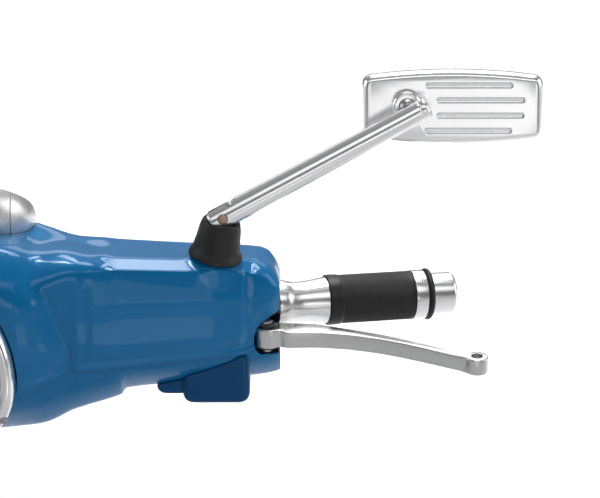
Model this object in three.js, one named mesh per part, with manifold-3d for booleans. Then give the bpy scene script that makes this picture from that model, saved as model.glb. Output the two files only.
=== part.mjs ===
// Scooter handlebar head: a raked steering tube, a swept handlebar inside a two-piece casing, a headlight,
// an instrument cluster, and on each side a grip, a brake lever with its pump, switches and a mirror.
// Millimetres, +Z up, the front of the scooter towards -Y, the rider's left hand towards +X.
// The origin is the centre of the steering tube's lower face.
import * as THREE from "three";
import { mergeVertices } from "three/addons/utils/BufferGeometryUtils.js";
import Module from "manifold-3d";

const wasm = await Module();
wasm.setup();

// ---- Driving dimensions ----
const GAP = 0.35; // air between pieces that touch on the real object
const RUN = 0.3; // radial clearance of turning fits
const SEGMENTS = 16;

const RAKE = THREE.MathUtils.degToRad(24);
const STEM_LENGTH = 205; // lower face of the steering tube to the bar's height, along the axis
const STEM_BEHIND_BAR = 14;
const BAR_Y = STEM_LENGTH * Math.sin(RAKE) - STEM_BEHIND_BAR;
const BAR_Z = STEM_LENGTH * Math.cos(RAKE);
const STEM_R = 13;
const HEAD_TUBE = { outer: 25, inner: 19, length: 84 };

const BAR_R = 11;
const BAR_WALL = 2.2;
const BAR_BEND_X = 110;
const BAR_SWEEP = THREE.MathUtils.degToRad(15);
const BAR_REACH = 254.5; // straight length outboard of the bend

const GRIP_START = 143;
const RUBBER = { start: 181, end: 245.5, radius: 17.9 };
const RING_END = 255;
const END_CAP = { start: 255.4, length: 20.6, radius: 15.3, groove: 14.4 };
const SEAL = { major: 16.9, minor: 2.1 };

const WALL = 3; // casing thickness
const LEVER_TILT = THREE.MathUtils.degToRad(11);
const LEVER_PIVOT = new THREE.Vector3(242.5, 11, -17.6);
const LEVER_HEIGHT = 14.4;
const PIVOT_R = 3.4;
const CAM_RADIUS = 4.5;

const BOOT_BASE = new THREE.Vector3(206, 7, 41.5);
const BOOT_LEAN_OUT = THREE.MathUtils.degToRad(10.5);
const BOOT_LEAN_FORWARD = THREE.MathUtils.degToRad(10.5);
const ARM_RISE = THREE.MathUtils.degToRad(28.6);
const ARM = { tail: 10, length: 165, root: 8.9, tip: 7.3 };
const ARM_PIN = new THREE.Vector3(212, 0, 71);
const BALL = new THREE.Vector3(342, 12.6, 148);
const PLATE = { centre: [374.7, 145.8], halfWidth: 64.3, halfEnd: 23.2, halfMiddle: 26.6, back: 21, depth: 11 };

// Outline of the casing at stations along the bar: offsets from the bar's axis, front to back and up.
const STATIONS = [
  { x: 0, front: -60, back: 46, top: 70, edge: 56, ridge: 36, seam: -52, belly: -84 },
  { x: 45, front: -59, back: 46, top: 67.5, edge: 55, ridge: 35, seam: -50, belly: -83 },
  { x: 68, front: -55, back: 45, top: 64.5, edge: 53, ridge: 35, seam: -45, belly: -81 },
  { x: 86, front: -46, back: 42, top: 59, edge: 49.5, ridge: 35.5, seam: -39, belly: -78 },
  { x: 106, front: -39, back: 39, top: 53, edge: 47, ridge: 38, seam: -34, belly: -68.5 },
  { x: 138, front: -37, back: 37, top: 49.5, edge: 44.8, ridge: 38.4, seam: -32, belly: -60 },
  { x: 142, front: -36.9, back: 36.9, top: 49, edge: 44.5, ridge: 38.1, seam: -31.9, belly: -55.5 },
  { x: 190, front: -36, back: 36, top: 43.8, edge: 40.5, ridge: 34, seam: -30, belly: -54 },
  { x: 230, front: -34, back: 33, top: 40, edge: 37, ridge: 30.5, seam: -29, belly: -52.5 },
  { x: 243, front: -32, back: 30, top: 36, edge: 33, ridge: 27, seam: -28.8, belly: -51.5 },
  { x: 249, front: -30, back: 28, top: 28.5, edge: 26.5, ridge: 22, seam: -28.6, belly: -50.5 },
  { x: 252, front: -28, back: 25, top: 22, edge: 21, ridge: 18, seam: -28.4, belly: -49.5 },
];
const RING_XS = [0, 26, 50, 68, 79, 91, 106, 122, 138, 142, 190, 215, 233, 243, 248, 252];
// Positions round the outline, counted in corners: the front cover from the bottom front over the top, and
// the rear cover from there down and back under.
const FRONT_LINES = [0, 1, 2, 3, 3.5, 4, 5, 6];
const REAR_LINES = [6.04, 6.6, 7.3, 8, 9, 10, 11, 12, 12.96];
const OUTLINE_POINTS = 13;

// ---- Materials ----
function finish(color, roughness, metalness) {
  return new THREE.MeshStandardMaterial({ color, roughness, metalness });
}
const PAINT = finish(0x0a4f86, 0.2, 0.1);
const ALUMINIUM = finish(0xc9c9c7, 0.25, 0.9);
const CHROME = finish(0xdedede, 0.08, 1);
const RUBBER_BLACK = finish(0x222223, 0.75, 0);
const PLASTIC = finish(0x17181a, 0.5, 0);
const STEEL = finish(0x8d9094, 0.35, 0.9);
const GLASS = finish(0xe8eef2, 0.05, 0);
const MIRROR = finish(0xf2f4f5, 0.02, 1);
const DIAL = finish(0xeeeae0, 0.6, 0);
const NEEDLE = finish(0xc8321e, 0.5, 0);

// ---- Solids ----
function solid(geometry) {
  const bare = geometry.index ? geometry.toNonIndexed() : geometry.clone();
  bare.deleteAttribute("normal");
  bare.deleteAttribute("uv");
  const merged = mergeVertices(bare, 1e-3);
  return new wasm.Manifold(
    new wasm.Mesh({
      numProp: 3,
      vertProperties: merged.attributes.position.array,
      triVerts: new Uint32Array(merged.index.array),
    }),
  );
}

function geometryOf(manifold) {
  const { vertProperties, triVerts, numProp, numVert } = manifold.getMesh();
  const positions = new Float32Array(numVert * 3);
  for (let i = 0; i < numVert; i++) {
    positions.set(vertProperties.subarray(i * numProp, i * numProp + 3), i * 3);
  }
  return new THREE.BufferGeometry()
    .setAttribute("position", new THREE.BufferAttribute(positions, 3))
    .setIndex(new THREE.BufferAttribute(triVerts, 1));
}

function cut(geometry, ...tools) {
  return geometryOf(tools.reduce((body, tool) => body.subtract(solid(tool)), solid(geometry)));
}

function join(geometry, ...others) {
  return geometryOf(others.reduce((body, other) => body.add(solid(other)), solid(geometry)));
}

function common(geometry, other) {
  return geometryOf(solid(geometry).intersect(solid(other)));
}

// ---- Shapes ----
// A turned solid along +X from a profile of [distance, radius] pairs.
function turned(profile, segments = SEGMENTS) {
  const points = profile.map(([along, radius]) => new THREE.Vector2(radius, along));
  return new THREE.LatheGeometry(points, segments).rotateZ(-Math.PI / 2);
}

// A turned ring along +X: outside profile out, then inside profile back.
function turnedRing(outside, inside, segments = SEGMENTS) {
  return turned([...outside, ...inside.toReversed(), outside[0]], segments);
}

function rod(start, end, radius, segments = SEGMENTS) {
  return turned([[start, 0], [start, radius], [end, radius], [end, 0]], segments);
}

function tube(start, end, outer, inner, segments = SEGMENTS) {
  return turnedRing([[start, outer], [end, outer]], [[start, inner], [end, inner]], segments);
}

function box(x, y, z) {
  return new THREE.BoxGeometry(x[1] - x[0], y[1] - y[0], z[1] - z[0]).translate(
    (x[0] + x[1]) / 2,
    (y[0] + y[1]) / 2,
    (z[0] + z[1]) / 2,
  );
}

function upright(geometry) {
  return geometry.rotateY(-Math.PI / 2);
}

function alongY(geometry) {
  return geometry.rotateZ(Math.PI / 2);
}

// An outline in X and Z, given depth along Y.
function plateXZ(shape, yFrom, yTo, curveSegments = 4) {
  return new THREE.ExtrudeGeometry(shape, { depth: yTo - yFrom, bevelEnabled: false, curveSegments })
    .rotateX(Math.PI / 2)
    .translate(0, yTo, 0);
}

// An outline in X and Y, given height along Z.
function plateXY(shape, zFrom, zTo, curveSegments = 6) {
  return new THREE.ExtrudeGeometry(shape, { depth: zTo - zFrom, bevelEnabled: false, curveSegments })
    .translate(0, 0, zFrom);
}

function roundedRectangle(x0, x1, z0, z1, radius) {
  return new THREE.Shape()
    .moveTo(x0 + radius, z0)
    .lineTo(x1 - radius, z0)
    .absarc(x1 - radius, z0 + radius, radius, -Math.PI / 2, 0, false)
    .lineTo(x1, z1 - radius)
    .absarc(x1 - radius, z1 - radius, radius, 0, Math.PI / 2, false)
    .lineTo(x0 + radius, z1)
    .absarc(x0 + radius, z1 - radius, radius, Math.PI / 2, Math.PI, false)
    .lineTo(x0, z0 + radius)
    .absarc(x0 + radius, z0 + radius, radius, Math.PI, Math.PI * 1.5, false);
}

// Triangles that fill a ring lying across X, turning the same way as the ring itself.
function endFaces(ring) {
  const flat = ring.map((p) => new THREE.Vector2(p.y, p.z));
  const triangles = THREE.ShapeUtils.triangulateShape(flat, []);
  const ringArea = THREE.ShapeUtils.area(flat);
  const faceArea = THREE.ShapeUtils.area(triangles[0].map((i) => flat[i]));
  return ringArea * faceArea > 0 ? triangles : triangles.map(([a, b, c]) => [a, c, b]);
}

// A closed surface through rings of equal point count, with flat ends.
function loft(rings) {
  const count = rings[0].length;
  const positions = rings.flat().flatMap((p) => [p.x, p.y, p.z]);
  const faces = [];
  for (let i = 0; i + 1 < rings.length; i++) {
    for (let j = 0; j < count; j++) {
      const a = i * count + j;
      const b = i * count + ((j + 1) % count);
      faces.push(a, b, b + count, a, b + count, a + count);
    }
  }
  const last = (rings.length - 1) * count;
  for (const [a, b, c] of endFaces(rings[0])) faces.push(a, c, b);
  for (const [a, b, c] of endFaces(rings.at(-1))) faces.push(last + a, last + b, last + c);
  const geometry = new THREE.BufferGeometry()
    .setAttribute("position", new THREE.Float32BufferAttribute(positions, 3))
    .setIndex(faces);
  if (solid(geometry).volume() < 0) {
    for (let i = 0; i < faces.length; i += 3) {
      [faces[i + 1], faces[i + 2]] = [faces[i + 2], faces[i + 1]];
    }
    geometry.setIndex(faces);
  }
  return geometry;
}

// ---- Casing ----
function barY(x) {
  return Math.max(0, Math.abs(x) - BAR_BEND_X) * Math.tan(BAR_SWEEP);
}

function hermite(p0, m0, p1, m1, t) {
  const t2 = t * t;
  const t3 = t2 * t;
  return (2 * t3 - 3 * t2 + 1) * p0 + (t3 - 2 * t2 + t) * m0 + (3 * t2 - 2 * t3) * p1 + (t3 - t2) * m1;
}

// One size of the outline at any distance from the middle, on a smooth curve through the stations.
function sizeAt(x, key) {
  const i = Math.min(STATIONS.findLastIndex((s) => s.x <= x), STATIONS.length - 2);
  const [a, b] = [STATIONS[i], STATIONS[i + 1]];
  const before = STATIONS[i - 1] ?? { ...b, x: -b.x };
  const after = STATIONS[i + 2] ?? b;
  const span = b.x - a.x;
  const slopeA = ((b[key] - before[key]) / (b.x - before.x)) * span;
  const slopeB = ((after[key] - a[key]) / (after.x - a.x)) * span;
  return hermite(a[key], slopeA, b[key], slopeB, (x - a.x) / span);
}

// The outline's corners as [y, z] offsets from the bar's axis, from the bottom front, over the top and round.
function corners(x) {
  const size = (key) => sizeAt(x, key);
  const [front, back, top, edge] = [size("front"), size("back"), size("top"), size("edge")];
  const [ridge, seam, belly] = [size("ridge"), size("seam"), size("belly")];
  return [
    [front * 0.8, seam],
    [front * 0.97, seam * 0.5],
    [front, ridge * 0.4],
    [front * 0.94, ridge],
    [front * 0.6, edge],
    [0, (edge + top) / 2],
    [back * 0.62, top],
    [back * 0.96, top * 0.55],
    [back, -5],
    [back * 0.92, belly * 0.55],
    [back * 0.5, belly * 0.97],
    [front * 0.05, belly],
    [front * 0.5, belly * 0.55 + seam * 0.45],
  ];
}

function outlinePoint(x, u, inset) {
  const points = corners(Math.abs(x));
  const at = (i) => points[((i % OUTLINE_POINTS) + OUTLINE_POINTS) % OUTLINE_POINTS];
  const i = Math.floor(u);
  const t = u - i;
  const [y, z] = [0, 1].map((k) =>
    hermite(
      at(i)[k],
      (at(i + 1)[k] - at(i - 1)[k]) * 0.4,
      at(i + 1)[k],
      (at(i + 2)[k] - at(i)[k]) * 0.4,
      t,
    ),
  );
  const shrink = 1 - inset / Math.hypot(y, z);
  return new THREE.Vector3(x, barY(x) + y * shrink, z * shrink);
}

const BOTH_WAYS = [...RING_XS.slice(1).toReversed().map((x) => -x), ...RING_XS];

// A strip of the casing's wall along some of the outline's lines.
function coverStrip(lines) {
  return loft(
    BOTH_WAYS.map((x) => [
      ...lines.map((u) => outlinePoint(x, u, 0)),
      ...lines.toReversed().map((u) => outlinePoint(x, u, WALL)),
    ]),
  );
}

function casingSolid(grow) {
  const lines = [...FRONT_LINES, ...REAR_LINES.slice(1, -1)];
  return loft(BOTH_WAYS.map((x) => lines.map((u) => outlinePoint(x, u, -grow))));
}

// Plate that closes the casing's open end round the grip.
const END_PLATE = { from: 249.2, to: 251.4, hole: 17.3 };

function endPlate() {
  const lines = [...FRONT_LINES, ...REAR_LINES.slice(1, -1)];
  const outline = lines.map((u) => outlinePoint(END_PLATE.to, u, WALL + 2 * GAP));
  const plate = loft([END_PLATE.from, END_PLATE.to].map((x) => outline.map((p) => p.clone().setX(x))));
  return cut(plate, leverSlot(), rod(120, 170, END_PLATE.hole, 24).applyMatrix4(BAR_SIDE));
}

// Headlight outline: an ellipse above its widest line and a squarer half below it.
const LAMP = { centre: -35, halfWidth: 69, up: 79, down: 53, squareness: 2.3, middle: -14 };
const LAMP_POINTS = 28;

function headlightShape(scale) {
  const points = Array.from({ length: LAMP_POINTS }, (_, i) => {
    const angle = (i / LAMP_POINTS) * Math.PI * 2;
    const [c, s] = [Math.cos(angle), Math.sin(angle)];
    const power = s > 0 ? 1 : 2 / LAMP.squareness;
    const x = Math.sign(c) * Math.abs(c) ** power * LAMP.halfWidth;
    const z = LAMP.centre + Math.sign(s) * Math.abs(s) ** power * (s > 0 ? LAMP.up : LAMP.down);
    return new THREE.Vector2(x * scale, LAMP.middle + (z - LAMP.middle) * scale);
  });
  return new THREE.Shape(points);
}

const CLUSTER_PLACE = new THREE.Matrix4()
  .makeTranslation(0, 22, 65)
  .multiply(new THREE.Matrix4().makeRotationX(THREE.MathUtils.degToRad(-36)));
const CLUSTER_RADII = [78, 50, 38];
const NEEDLE_REST = THREE.MathUtils.degToRad(-30);

function clusterBody(grow) {
  return new THREE.SphereGeometry(1, 24, 12)
    .rotateX(Math.PI / 2)
    .scale(...CLUSTER_RADII.map((r) => r + grow));
}

function ellipseShape(a, b) {
  return new THREE.Shape().absellipse(0, 0, a, b, 0, Math.PI * 2);
}

function leverSlot() {
  const shape = new THREE.Shape()
    .moveTo(262, 9)
    .lineTo(252, 1)
    .lineTo(239.5, -6.6)
    .quadraticCurveTo(233.4, -11.5, 233.4, -21)
    .quadraticCurveTo(233.4, -29, 238, -32)
    .lineTo(262, -33);
  return plateXZ(shape, -60, 24, 3);
}

function onStem(geometry) {
  return geometry.rotateX(-RAKE).translate(0, STEM_BEHIND_BAR, 0);
}

function mirrorBoss(radius, low, high) {
  return upright(rod(low, high, radius)).applyMatrix4(BOOT_MATRIX);
}

const BOOT_MATRIX = new THREE.Matrix4()
  .makeTranslation(BOOT_BASE)
  .multiply(new THREE.Matrix4().makeRotationY(BOOT_LEAN_OUT))
  .multiply(new THREE.Matrix4().makeRotationX(BOOT_LEAN_FORWARD));

function bothSides(geometry) {
  const other = geometry.clone().scale(-1, 1, 1);
  const inOrder = { length: other.attributes.position.count };
  const index = other.index ? other.index.array : Uint32Array.from(inOrder, (_, i) => i);
  for (let i = 0; i < index.length; i += 3) [index[i + 1], index[i + 2]] = [index[i + 2], index[i + 1]];
  other.setIndex(Array.from(index));
  return [geometry, other];
}

function frontCover() {
  const shell = coverStrip(FRONT_LINES);
  const bosses = bothSides(cut(mirrorBoss(15.2, -15, -1.4), casingSolid(-WALL)));
  const raised = join(shell, ...bosses);
  return cut(
    raised,
    plateXZ(headlightShape(1), -100, -46),
    clusterBody(GAP).applyMatrix4(CLUSTER_PLACE),
    ...bothSides(leverSlot()),
    ...bothSides(mirrorBoss(7, -40, 10)),
  );
}

function rearCover() {
  const shell = coverStrip(REAR_LINES);
  return cut(
    shell,
    plateXZ(headlightShape(1), -100, -46),
    clusterBody(GAP).applyMatrix4(CLUSTER_PLACE),
    onStem(upright(rod(-140, -32, 36, 24))),
    ...bothSides(leverSlot()),
    ...bothSides(SWITCH_OPENING.clone().applyMatrix4(BAR_SIDE)),
  );
}

// ---- Frame of one side: +X along the swept bar, from the bend ----
const BAR_SIDE = new THREE.Matrix4()
  .makeTranslation(BAR_BEND_X, 0, 0)
  .multiply(new THREE.Matrix4().makeRotationZ(BAR_SWEEP));
const SWITCH = { x: [84, 128], y: [23, 38.5], z: [-17, 19] };
const SWITCH_OPENING = box(
  [SWITCH.x[0] - GAP, SWITCH.x[1] + GAP],
  [SWITCH.y[0] - 6, SWITCH.y[1] + 10],
  [SWITCH.z[0] - GAP, SWITCH.z[1] + GAP],
);

const group = new THREE.Group();
const head = new THREE.Group(); // everything placed from the middle of the bar
head.position.set(0, BAR_Y, BAR_Z);
group.add(head);

function add(parent, name, geometry, material) {
  const mesh = new THREE.Mesh(geometry, material);
  mesh.name = name;
  parent.add(mesh);
  return mesh;
}

// ---- Steering ----
function addSteering() {
  const steering = new THREE.Group();
  steering.rotation.x = -RAKE;
  group.add(steering);
  const { outer, inner, length } = HEAD_TUBE;
  const cup = 7;
  const tubeProfile = [
    [0, 0],
    [0, outer + 4],
    [8, outer + 4],
    [12, outer],
    [length, outer],
    [length, inner],
    [5.5, inner],
    [5.5, 0],
  ];
  add(steering, "head_tube", upright(turned(tubeProfile, 24)), PAINT);
  add(steering, "bearing_cup", upright(tube(length + GAP, length + cup, outer, inner, 24)), STEEL);
  add(
    steering,
    "bearing_cone",
    upright(
      turnedRing(
        [[length + cup + GAP, outer - 2], [length + cup + 6, outer - 6]],
        [[length + cup + GAP, STEM_R + GAP], [length + cup + 6, STEM_R + GAP]],
        24,
      ),
    ),
    STEEL,
  );
  const nutLow = length + cup + 6 + GAP;
  const hexagon = upright(rod(nutLow, nutLow + 9, 20, 6));
  add(steering, "bearing_lock_nut", cut(hexagon, upright(rod(0, 140, STEM_R + GAP))), STEEL);
  add(steering, "steering_stem", upright(tube(6, STEM_LENGTH + 16, STEM_R, 9)), STEEL);
}

function addHandlebar() {
  const runs = (from, to, radius, segments) => [
    rod(-BAR_BEND_X - 1, BAR_BEND_X + 1, radius, segments),
    ...bothSides(rod(from, to, radius, segments).applyMatrix4(BAR_SIDE)),
  ];
  const sleeve = onStem(upright(rod(-34, 13, 19)));
  const lug = onStem(box([-8, 8], [14, 34], [-30, -16]));
  const boltHole = onStem(rod(-20, 20, 3.3, 16).translate(0, 26, -23));
  const bar = cut(
    join(...runs(-1.5, BAR_REACH, BAR_R, SEGMENTS), sleeve, lug),
    ...runs(-1, BAR_REACH + 2, BAR_R - BAR_WALL, 12),
    onStem(upright(rod(-140, 40, STEM_R + RUN))),
    boltHole,
  );
  add(head, "handlebar", bar, STEEL);
  const bolt = join(rod(-12, 12, 3, 16), rod(8.4, 13, 5.5, 6));
  add(head, "pinch_bolt", onStem(bolt.translate(0, 26, -23)), STEEL);
}

// ---- Headlight and instruments ----
function addHeadlight() {
  const bezel = cut(
    plateXZ(headlightShape(0.99), -68, -52),
    plateXZ(headlightShape(0.82), -80, -55),
    alongY(rod(-80, -40, 36.5, 24)).translate(0, 0, LAMP.middle),
  );
  add(head, "headlight_bezel", bezel, CHROME);
  const bowl = [[-51.6, 0], [-51.6, 38], [-46, 35.5], [-32, 24], [-28, 9], [-28, 0]];
  const hollow = [[-53, 0], [-53, 35.8], [-46.5, 33.2], [-34, 22], [-31, 6], [-20, 6], [-20, 0]];
  const reflector = cut(alongY(turned(bowl)), alongY(turned(hollow)));
  add(head, "headlight_reflector", reflector.translate(0, 0, LAMP.middle), CHROME);
  add(head, "headlight_lens", plateXZ(headlightShape(0.812), -64, -60.4), GLASS);
  const bulb = turned([[-48, 0], [-48, 3], [-45, 5], [-22, 5], [-22, 0]], 12);
  add(head, "headlight_bulb", alongY(bulb).translate(0, 0, LAMP.middle), GLASS);
}

function addCluster() {
  const cluster = new THREE.Group();
  cluster.applyMatrix4(CLUSTER_PLACE);
  head.add(cluster);
  const rim = 9;
  const housing = cut(
    clusterBody(0),
    box([-100, 100], [-80, 80], [rim, 60]),
    plateXY(ellipseShape(66, 38), -6, 40, 7),
    plateXY(ellipseShape(28, 16), -60, 0, 5),
  );
  add(cluster, "cluster_housing", housing, CHROME);
  const face = plateXY(ellipseShape(65.5, 37.5), -5.6, -3.6, 7);
  add(cluster, "cluster_dial", cut(face, upright(rod(-20, 20, 1.6, 10))), DIAL);
  const glass = plateXY(ellipseShape(65.5, 37.5), rim - 3, rim - 0.6, 7);
  add(cluster, "cluster_glass", glass, GLASS);
  const needle = new THREE.Shape()
    .moveTo(-0.8, -6)
    .lineTo(0.8, -6)
    .lineTo(0.4, 27)
    .lineTo(-0.4, 27);
  const hub = upright(rod(-3.1, 1.4, 3.4, 12));
  const hand = join(plateXY(needle, -0.6, 0.4), hub, upright(rod(-9, 0, 1.2, 10)));
  add(cluster, "speed_needle", hand, NEEDLE).rotation.z = NEEDLE_REST;
}

// ---- One side ----
function gripSleeve() {
  const outside = [
    [GRIP_START, 16.8],
    [149, 16.6],
    [154, 15],
    [159.6, 14.4],
    [169, 15.2],
    [RUBBER.start - GAP, 17],
    [RUBBER.start - GAP, 14],
    [RUBBER.end + GAP, 14],
    [RUBBER.end + GAP, 18.2],
    [RING_END, 18.2],
  ];
  const bore = BAR_R + RUN;
  return turnedRing(outside, [[GRIP_START, bore], [RING_END, bore]]);
}

function gripRubber() {
  const { start, end, radius } = RUBBER;
  return turnedRing(
    [[start, radius + 0.5], [start + 9, radius + 0.5], [start + 9.6, radius], [end, radius]],
    [[start, 14 + RUN], [end, 14 + RUN]],
  );
}

function endCap() {
  const { start, length, radius, groove } = END_CAP;
  const plug = BAR_R - BAR_WALL - 2 * RUN;
  return turned([
    [start - 18, 0],
    [start - 18, plug],
    [start, plug],
    [start, groove],
    [start + 5, groove],
    [start + 5, radius],
    [start + length, radius],
    [start + length + 2, radius - 1.6],
    [start + length + 3.6, radius * 0.5],
    [start + length + 3.9, 0],
  ]);
}

function endSeal() {
  const ring = new THREE.TorusGeometry(SEAL.major, SEAL.minor, 6, SEGMENTS);
  return ring.rotateY(Math.PI / 2).translate(END_CAP.start + 2.5, 0, 0);
}

// Lever plan: distance outboard of the pivot, centreline towards the front, half width.
const LEVER_PLAN = [
  [0, 0, 8.6],
  [14, -1, 8.4],
  [24, -1, 8.2],
  [38, -2, 7.3],
  [50, -5.2, 6],
  [62, -8.6, 5.1],
  [85, -17.2, 4.6],
  [110, -30, 4.3],
  [130, -41.5, 4.1],
  [143, -48, 4.6],
];
const LEVER_TIP = { x: 148, y: -48, radius: 8.1, hole: 4.2 };

function leverShape() {
  const shape = new THREE.Shape().absarc(0, 0, LEVER_PLAN[0][2], Math.PI / 2, Math.PI * 1.5, false);
  for (const [x, y, half] of LEVER_PLAN.slice(1)) shape.lineTo(x, y - half);
  for (const [x, y, half] of LEVER_PLAN.slice(1).toReversed()) shape.lineTo(x, y + half);
  return shape;
}

const PISTON_PLACE = new THREE.Vector3(0, -12.5, -16.5); // in the bar's side frame
const PISTON_END = 124.4;
const PISTON_R = 4.6;

function leverMatrix() {
  return new THREE.Matrix4()
    .makeTranslation(LEVER_PIVOT)
    .multiply(new THREE.Matrix4().makeRotationX(LEVER_TILT));
}

// Height of the lever at distances outboard of the pivot.
const LEVER_HEIGHTS = [
  [-20, LEVER_HEIGHT],
  [4.5, LEVER_HEIGHT],
  [14, 12.8],
  [60, 12.1],
  [134, 11.1],
  [141, 12],
  [170, 12],
];

function heightAt(x) {
  const i = LEVER_HEIGHTS.findIndex(([at]) => at >= x);
  const [[x0, h0], [x1, h1]] = LEVER_HEIGHTS.slice(i - 1, i + 1);
  return h0 + ((h1 - h0) * (x - x0)) / (x1 - x0);
}

function thinned(geometry) {
  const places = geometry.attributes.position;
  for (let i = 0; i < places.count; i++) {
    places.setZ(i, (places.getZ(i) * heightAt(places.getX(i))) / LEVER_HEIGHT);
  }
  return geometry;
}

function lever() {
  const half = LEVER_HEIGHT / 2;
  const { x, y, radius, hole } = LEVER_TIP;
  const blade = thinned(plateXY(leverShape(), -half, half, 5));
  const tip = thinned(upright(rod(-half + 0.1, half - 0.1, radius)).translate(x, y, 0));
  const cam = upright(rod(-4, 4, CAM_RADIUS, 12)).translate(-4.4, 10.6, 0);
  const web = box([-4, 5], [0, 10], [-3.9, 3.9]);
  return cut(
    join(blade, tip, cam, web),
    upright(rod(-20, 20, hole, 12)).translate(x, y, 0),
    upright(rod(-20, 20, PIVOT_R + RUN, 12)),
  ).applyMatrix4(leverMatrix());
}

function pivotBolt() {
  const shaft = join(upright(rod(-12, 11, PIVOT_R, 12)), upright(rod(10.4, 11.8, 4.4, 6)));
  return shaft.applyMatrix4(leverMatrix());
}

// Pump body: a clamp round the bar, the cylinder, the two ears that hold the lever, and the mirror's socket.
function pump() {
  const toSide = new THREE.Matrix4().copy(BAR_SIDE).invert();
  const fromLever = (geometry) => geometry.applyMatrix4(leverMatrix()).applyMatrix4(toSide);
  const fromMirror = (geometry) => geometry.applyMatrix4(BOOT_MATRIX).applyMatrix4(toSide);
  const clamp = rod(84, 114, 15.5);
  const barrel = rod(84, 116, 7.4, 12).translate(0, PISTON_PLACE.y, PISTON_PLACE.z);
  const ear = (low, high) => {
    const shape = new THREE.Shape()
      .moveTo(-26, 5)
      .lineTo(-8, -1)
      .lineTo(2, -4.4)
      .lineTo(5.5, -2)
      .lineTo(5.5, 3)
      .lineTo(-12, 19)
      .lineTo(-26, 19);
    return fromLever(plateXY(shape, low, high, 4));
  };
  const half = LEVER_HEIGHT / 2 + GAP;
  const cheek = fromLever(box([-26, -17], [5, 19], [-half - 2.5, half + 2.5]));
  const socket = fromMirror(upright(rod(-34, -14, 9.5, 12)));
  const body = join(clamp, barrel, cheek, ear(half, half + 2.5), ear(-half - 2.5, -half), socket);
  return cut(
    body,
    rod(60, 150, BAR_R + RUN),
    rod(90, 150, PISTON_R + RUN, 12).translate(0, PISTON_PLACE.y, PISTON_PLACE.z),
    fromLever(upright(rod(-20, 20, PIVOT_R + RUN / 2, 12))),
    fromMirror(upright(rod(-27, 0, 6 + RUN, 12))),
  );
}

function piston() {
  return rod(98, PISTON_END, PISTON_R, 12).translate(0, PISTON_PLACE.y, PISTON_PLACE.z);
}

function pumpCover() {
  const main = plateXZ(roundedRectangle(181, 229, -66, -30, 9), 4, 48, 3);
  const lobe = plateXZ(roundedRectangle(163, 186, -61, -40, 8), 8, 40, 3);
  return cut(join(main, lobe), casingSolid(3 * GAP));
}

function boot() {
  const outside = [[-1, 17.6], [0, 19.2], [2.5, 19], [6, 16.6], [14, 14.8], [23, 13.6], [27, 12]];
  const inside = [[-1, 15.6], [4, 13.6], [22, 10.6], [27, 9.4]];
  const reach = ARM.root + 0.6;
  const armSpace = [-ARM_FOLD, ARM_FOLD].map((fold) =>
    box([-ARM.tail - 1, 60], [-30, reach], [-reach, 30]).rotateY(fold).applyMatrix4(ARM_MATRIX),
  );
  return cut(upright(turnedRing(outside, inside)).applyMatrix4(BOOT_MATRIX), ...armSpace);
}

const ARM_FOLD = THREE.MathUtils.degToRad(10); // how far the arm tilts either way
const ARM_MATRIX = new THREE.Matrix4()
  .makeTranslation(ARM_PIN)
  .multiply(new THREE.Matrix4().makeRotationY(-ARM_RISE));
const TONGUE_HALF = 3.6;

// Stem that turns in the pump's socket, ending in the tongue that carries the arm.
function mirrorStem() {
  const stem = upright(rod(-26, 17.8, 6, 12)).applyMatrix4(BOOT_MATRIX);
  const shape = new THREE.Shape()
    .moveTo(-5.4, -12)
    .lineTo(5.4, -12)
    .lineTo(5.4, 0)
    .absarc(0, 0, 5.4, 0, Math.PI, false);
  const tongue = plateXZ(shape, -TONGUE_HALF, TONGUE_HALF, 5).translate(...ARM_PIN);
  const pinHole = alongY(rod(-20, 20, 3.4 + RUN / 2, 12)).translate(...ARM_PIN);
  return cut(join(stem, tongue), pinHole);
}

function mirrorPin() {
  return alongY(rod(-8.6, 8.6, 3.4, 12)).translate(...ARM_PIN);
}

function mirrorArm() {
  const { tail, length, root, tip } = ARM;
  const bar = turned([
    [-tail, 0],
    [-tail, root - 1.4],
    [1.4 - tail, root],
    [length - 1.4, tip],
    [length, tip - 1.4],
    [length, 0],
  ]);
  const slot = box([-30, 14], [-TONGUE_HALF - GAP, TONGUE_HALF + GAP], [-20, 20]);
  const pinHole = alongY(rod(-20, 20, 3.4 + RUN, 12));
  return cut(bar, slot, pinHole).applyMatrix4(ARM_MATRIX);
}

// Ball stud screwed into the back of the arm.
function mirrorBall() {
  const ball = new THREE.SphereGeometry(6, 12, 6).translate(...BALL);
  const neck = alongY(rod(BALL.y - 12, BALL.y, 3, 12)).translate(BALL.x, 0, BALL.z);
  const armSpace = rod(0, ARM.length + 5, ARM.tip + 1.2).applyMatrix4(ARM_MATRIX);
  return cut(join(ball, neck), armSpace);
}

function plateShape(inset) {
  const { centre, halfWidth, halfEnd, halfMiddle } = PLATE;
  const [cx, cz] = centre;
  const w = halfWidth - inset;
  const e = halfEnd - inset;
  const m = halfMiddle - inset;
  const r = 9 - inset * 0.5;
  return new THREE.Shape()
    .moveTo(cx - w + r, cz - e)
    .quadraticCurveTo(cx, cz - 2 * m + e, cx + w - r, cz - e)
    .quadraticCurveTo(cx + w, cz - e, cx + w, cz - e + r)
    .lineTo(cx + w, cz + e - r)
    .quadraticCurveTo(cx + w, cz + e, cx + w - r, cz + e)
    .quadraticCurveTo(cx, cz + 2 * m - e, cx - w + r, cz + e)
    .quadraticCurveTo(cx - w, cz + e, cx - w, cz + e - r)
    .lineTo(cx - w, cz - e + r)
    .quadraticCurveTo(cx - w, cz - e, cx - w + r, cz - e);
}

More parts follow.
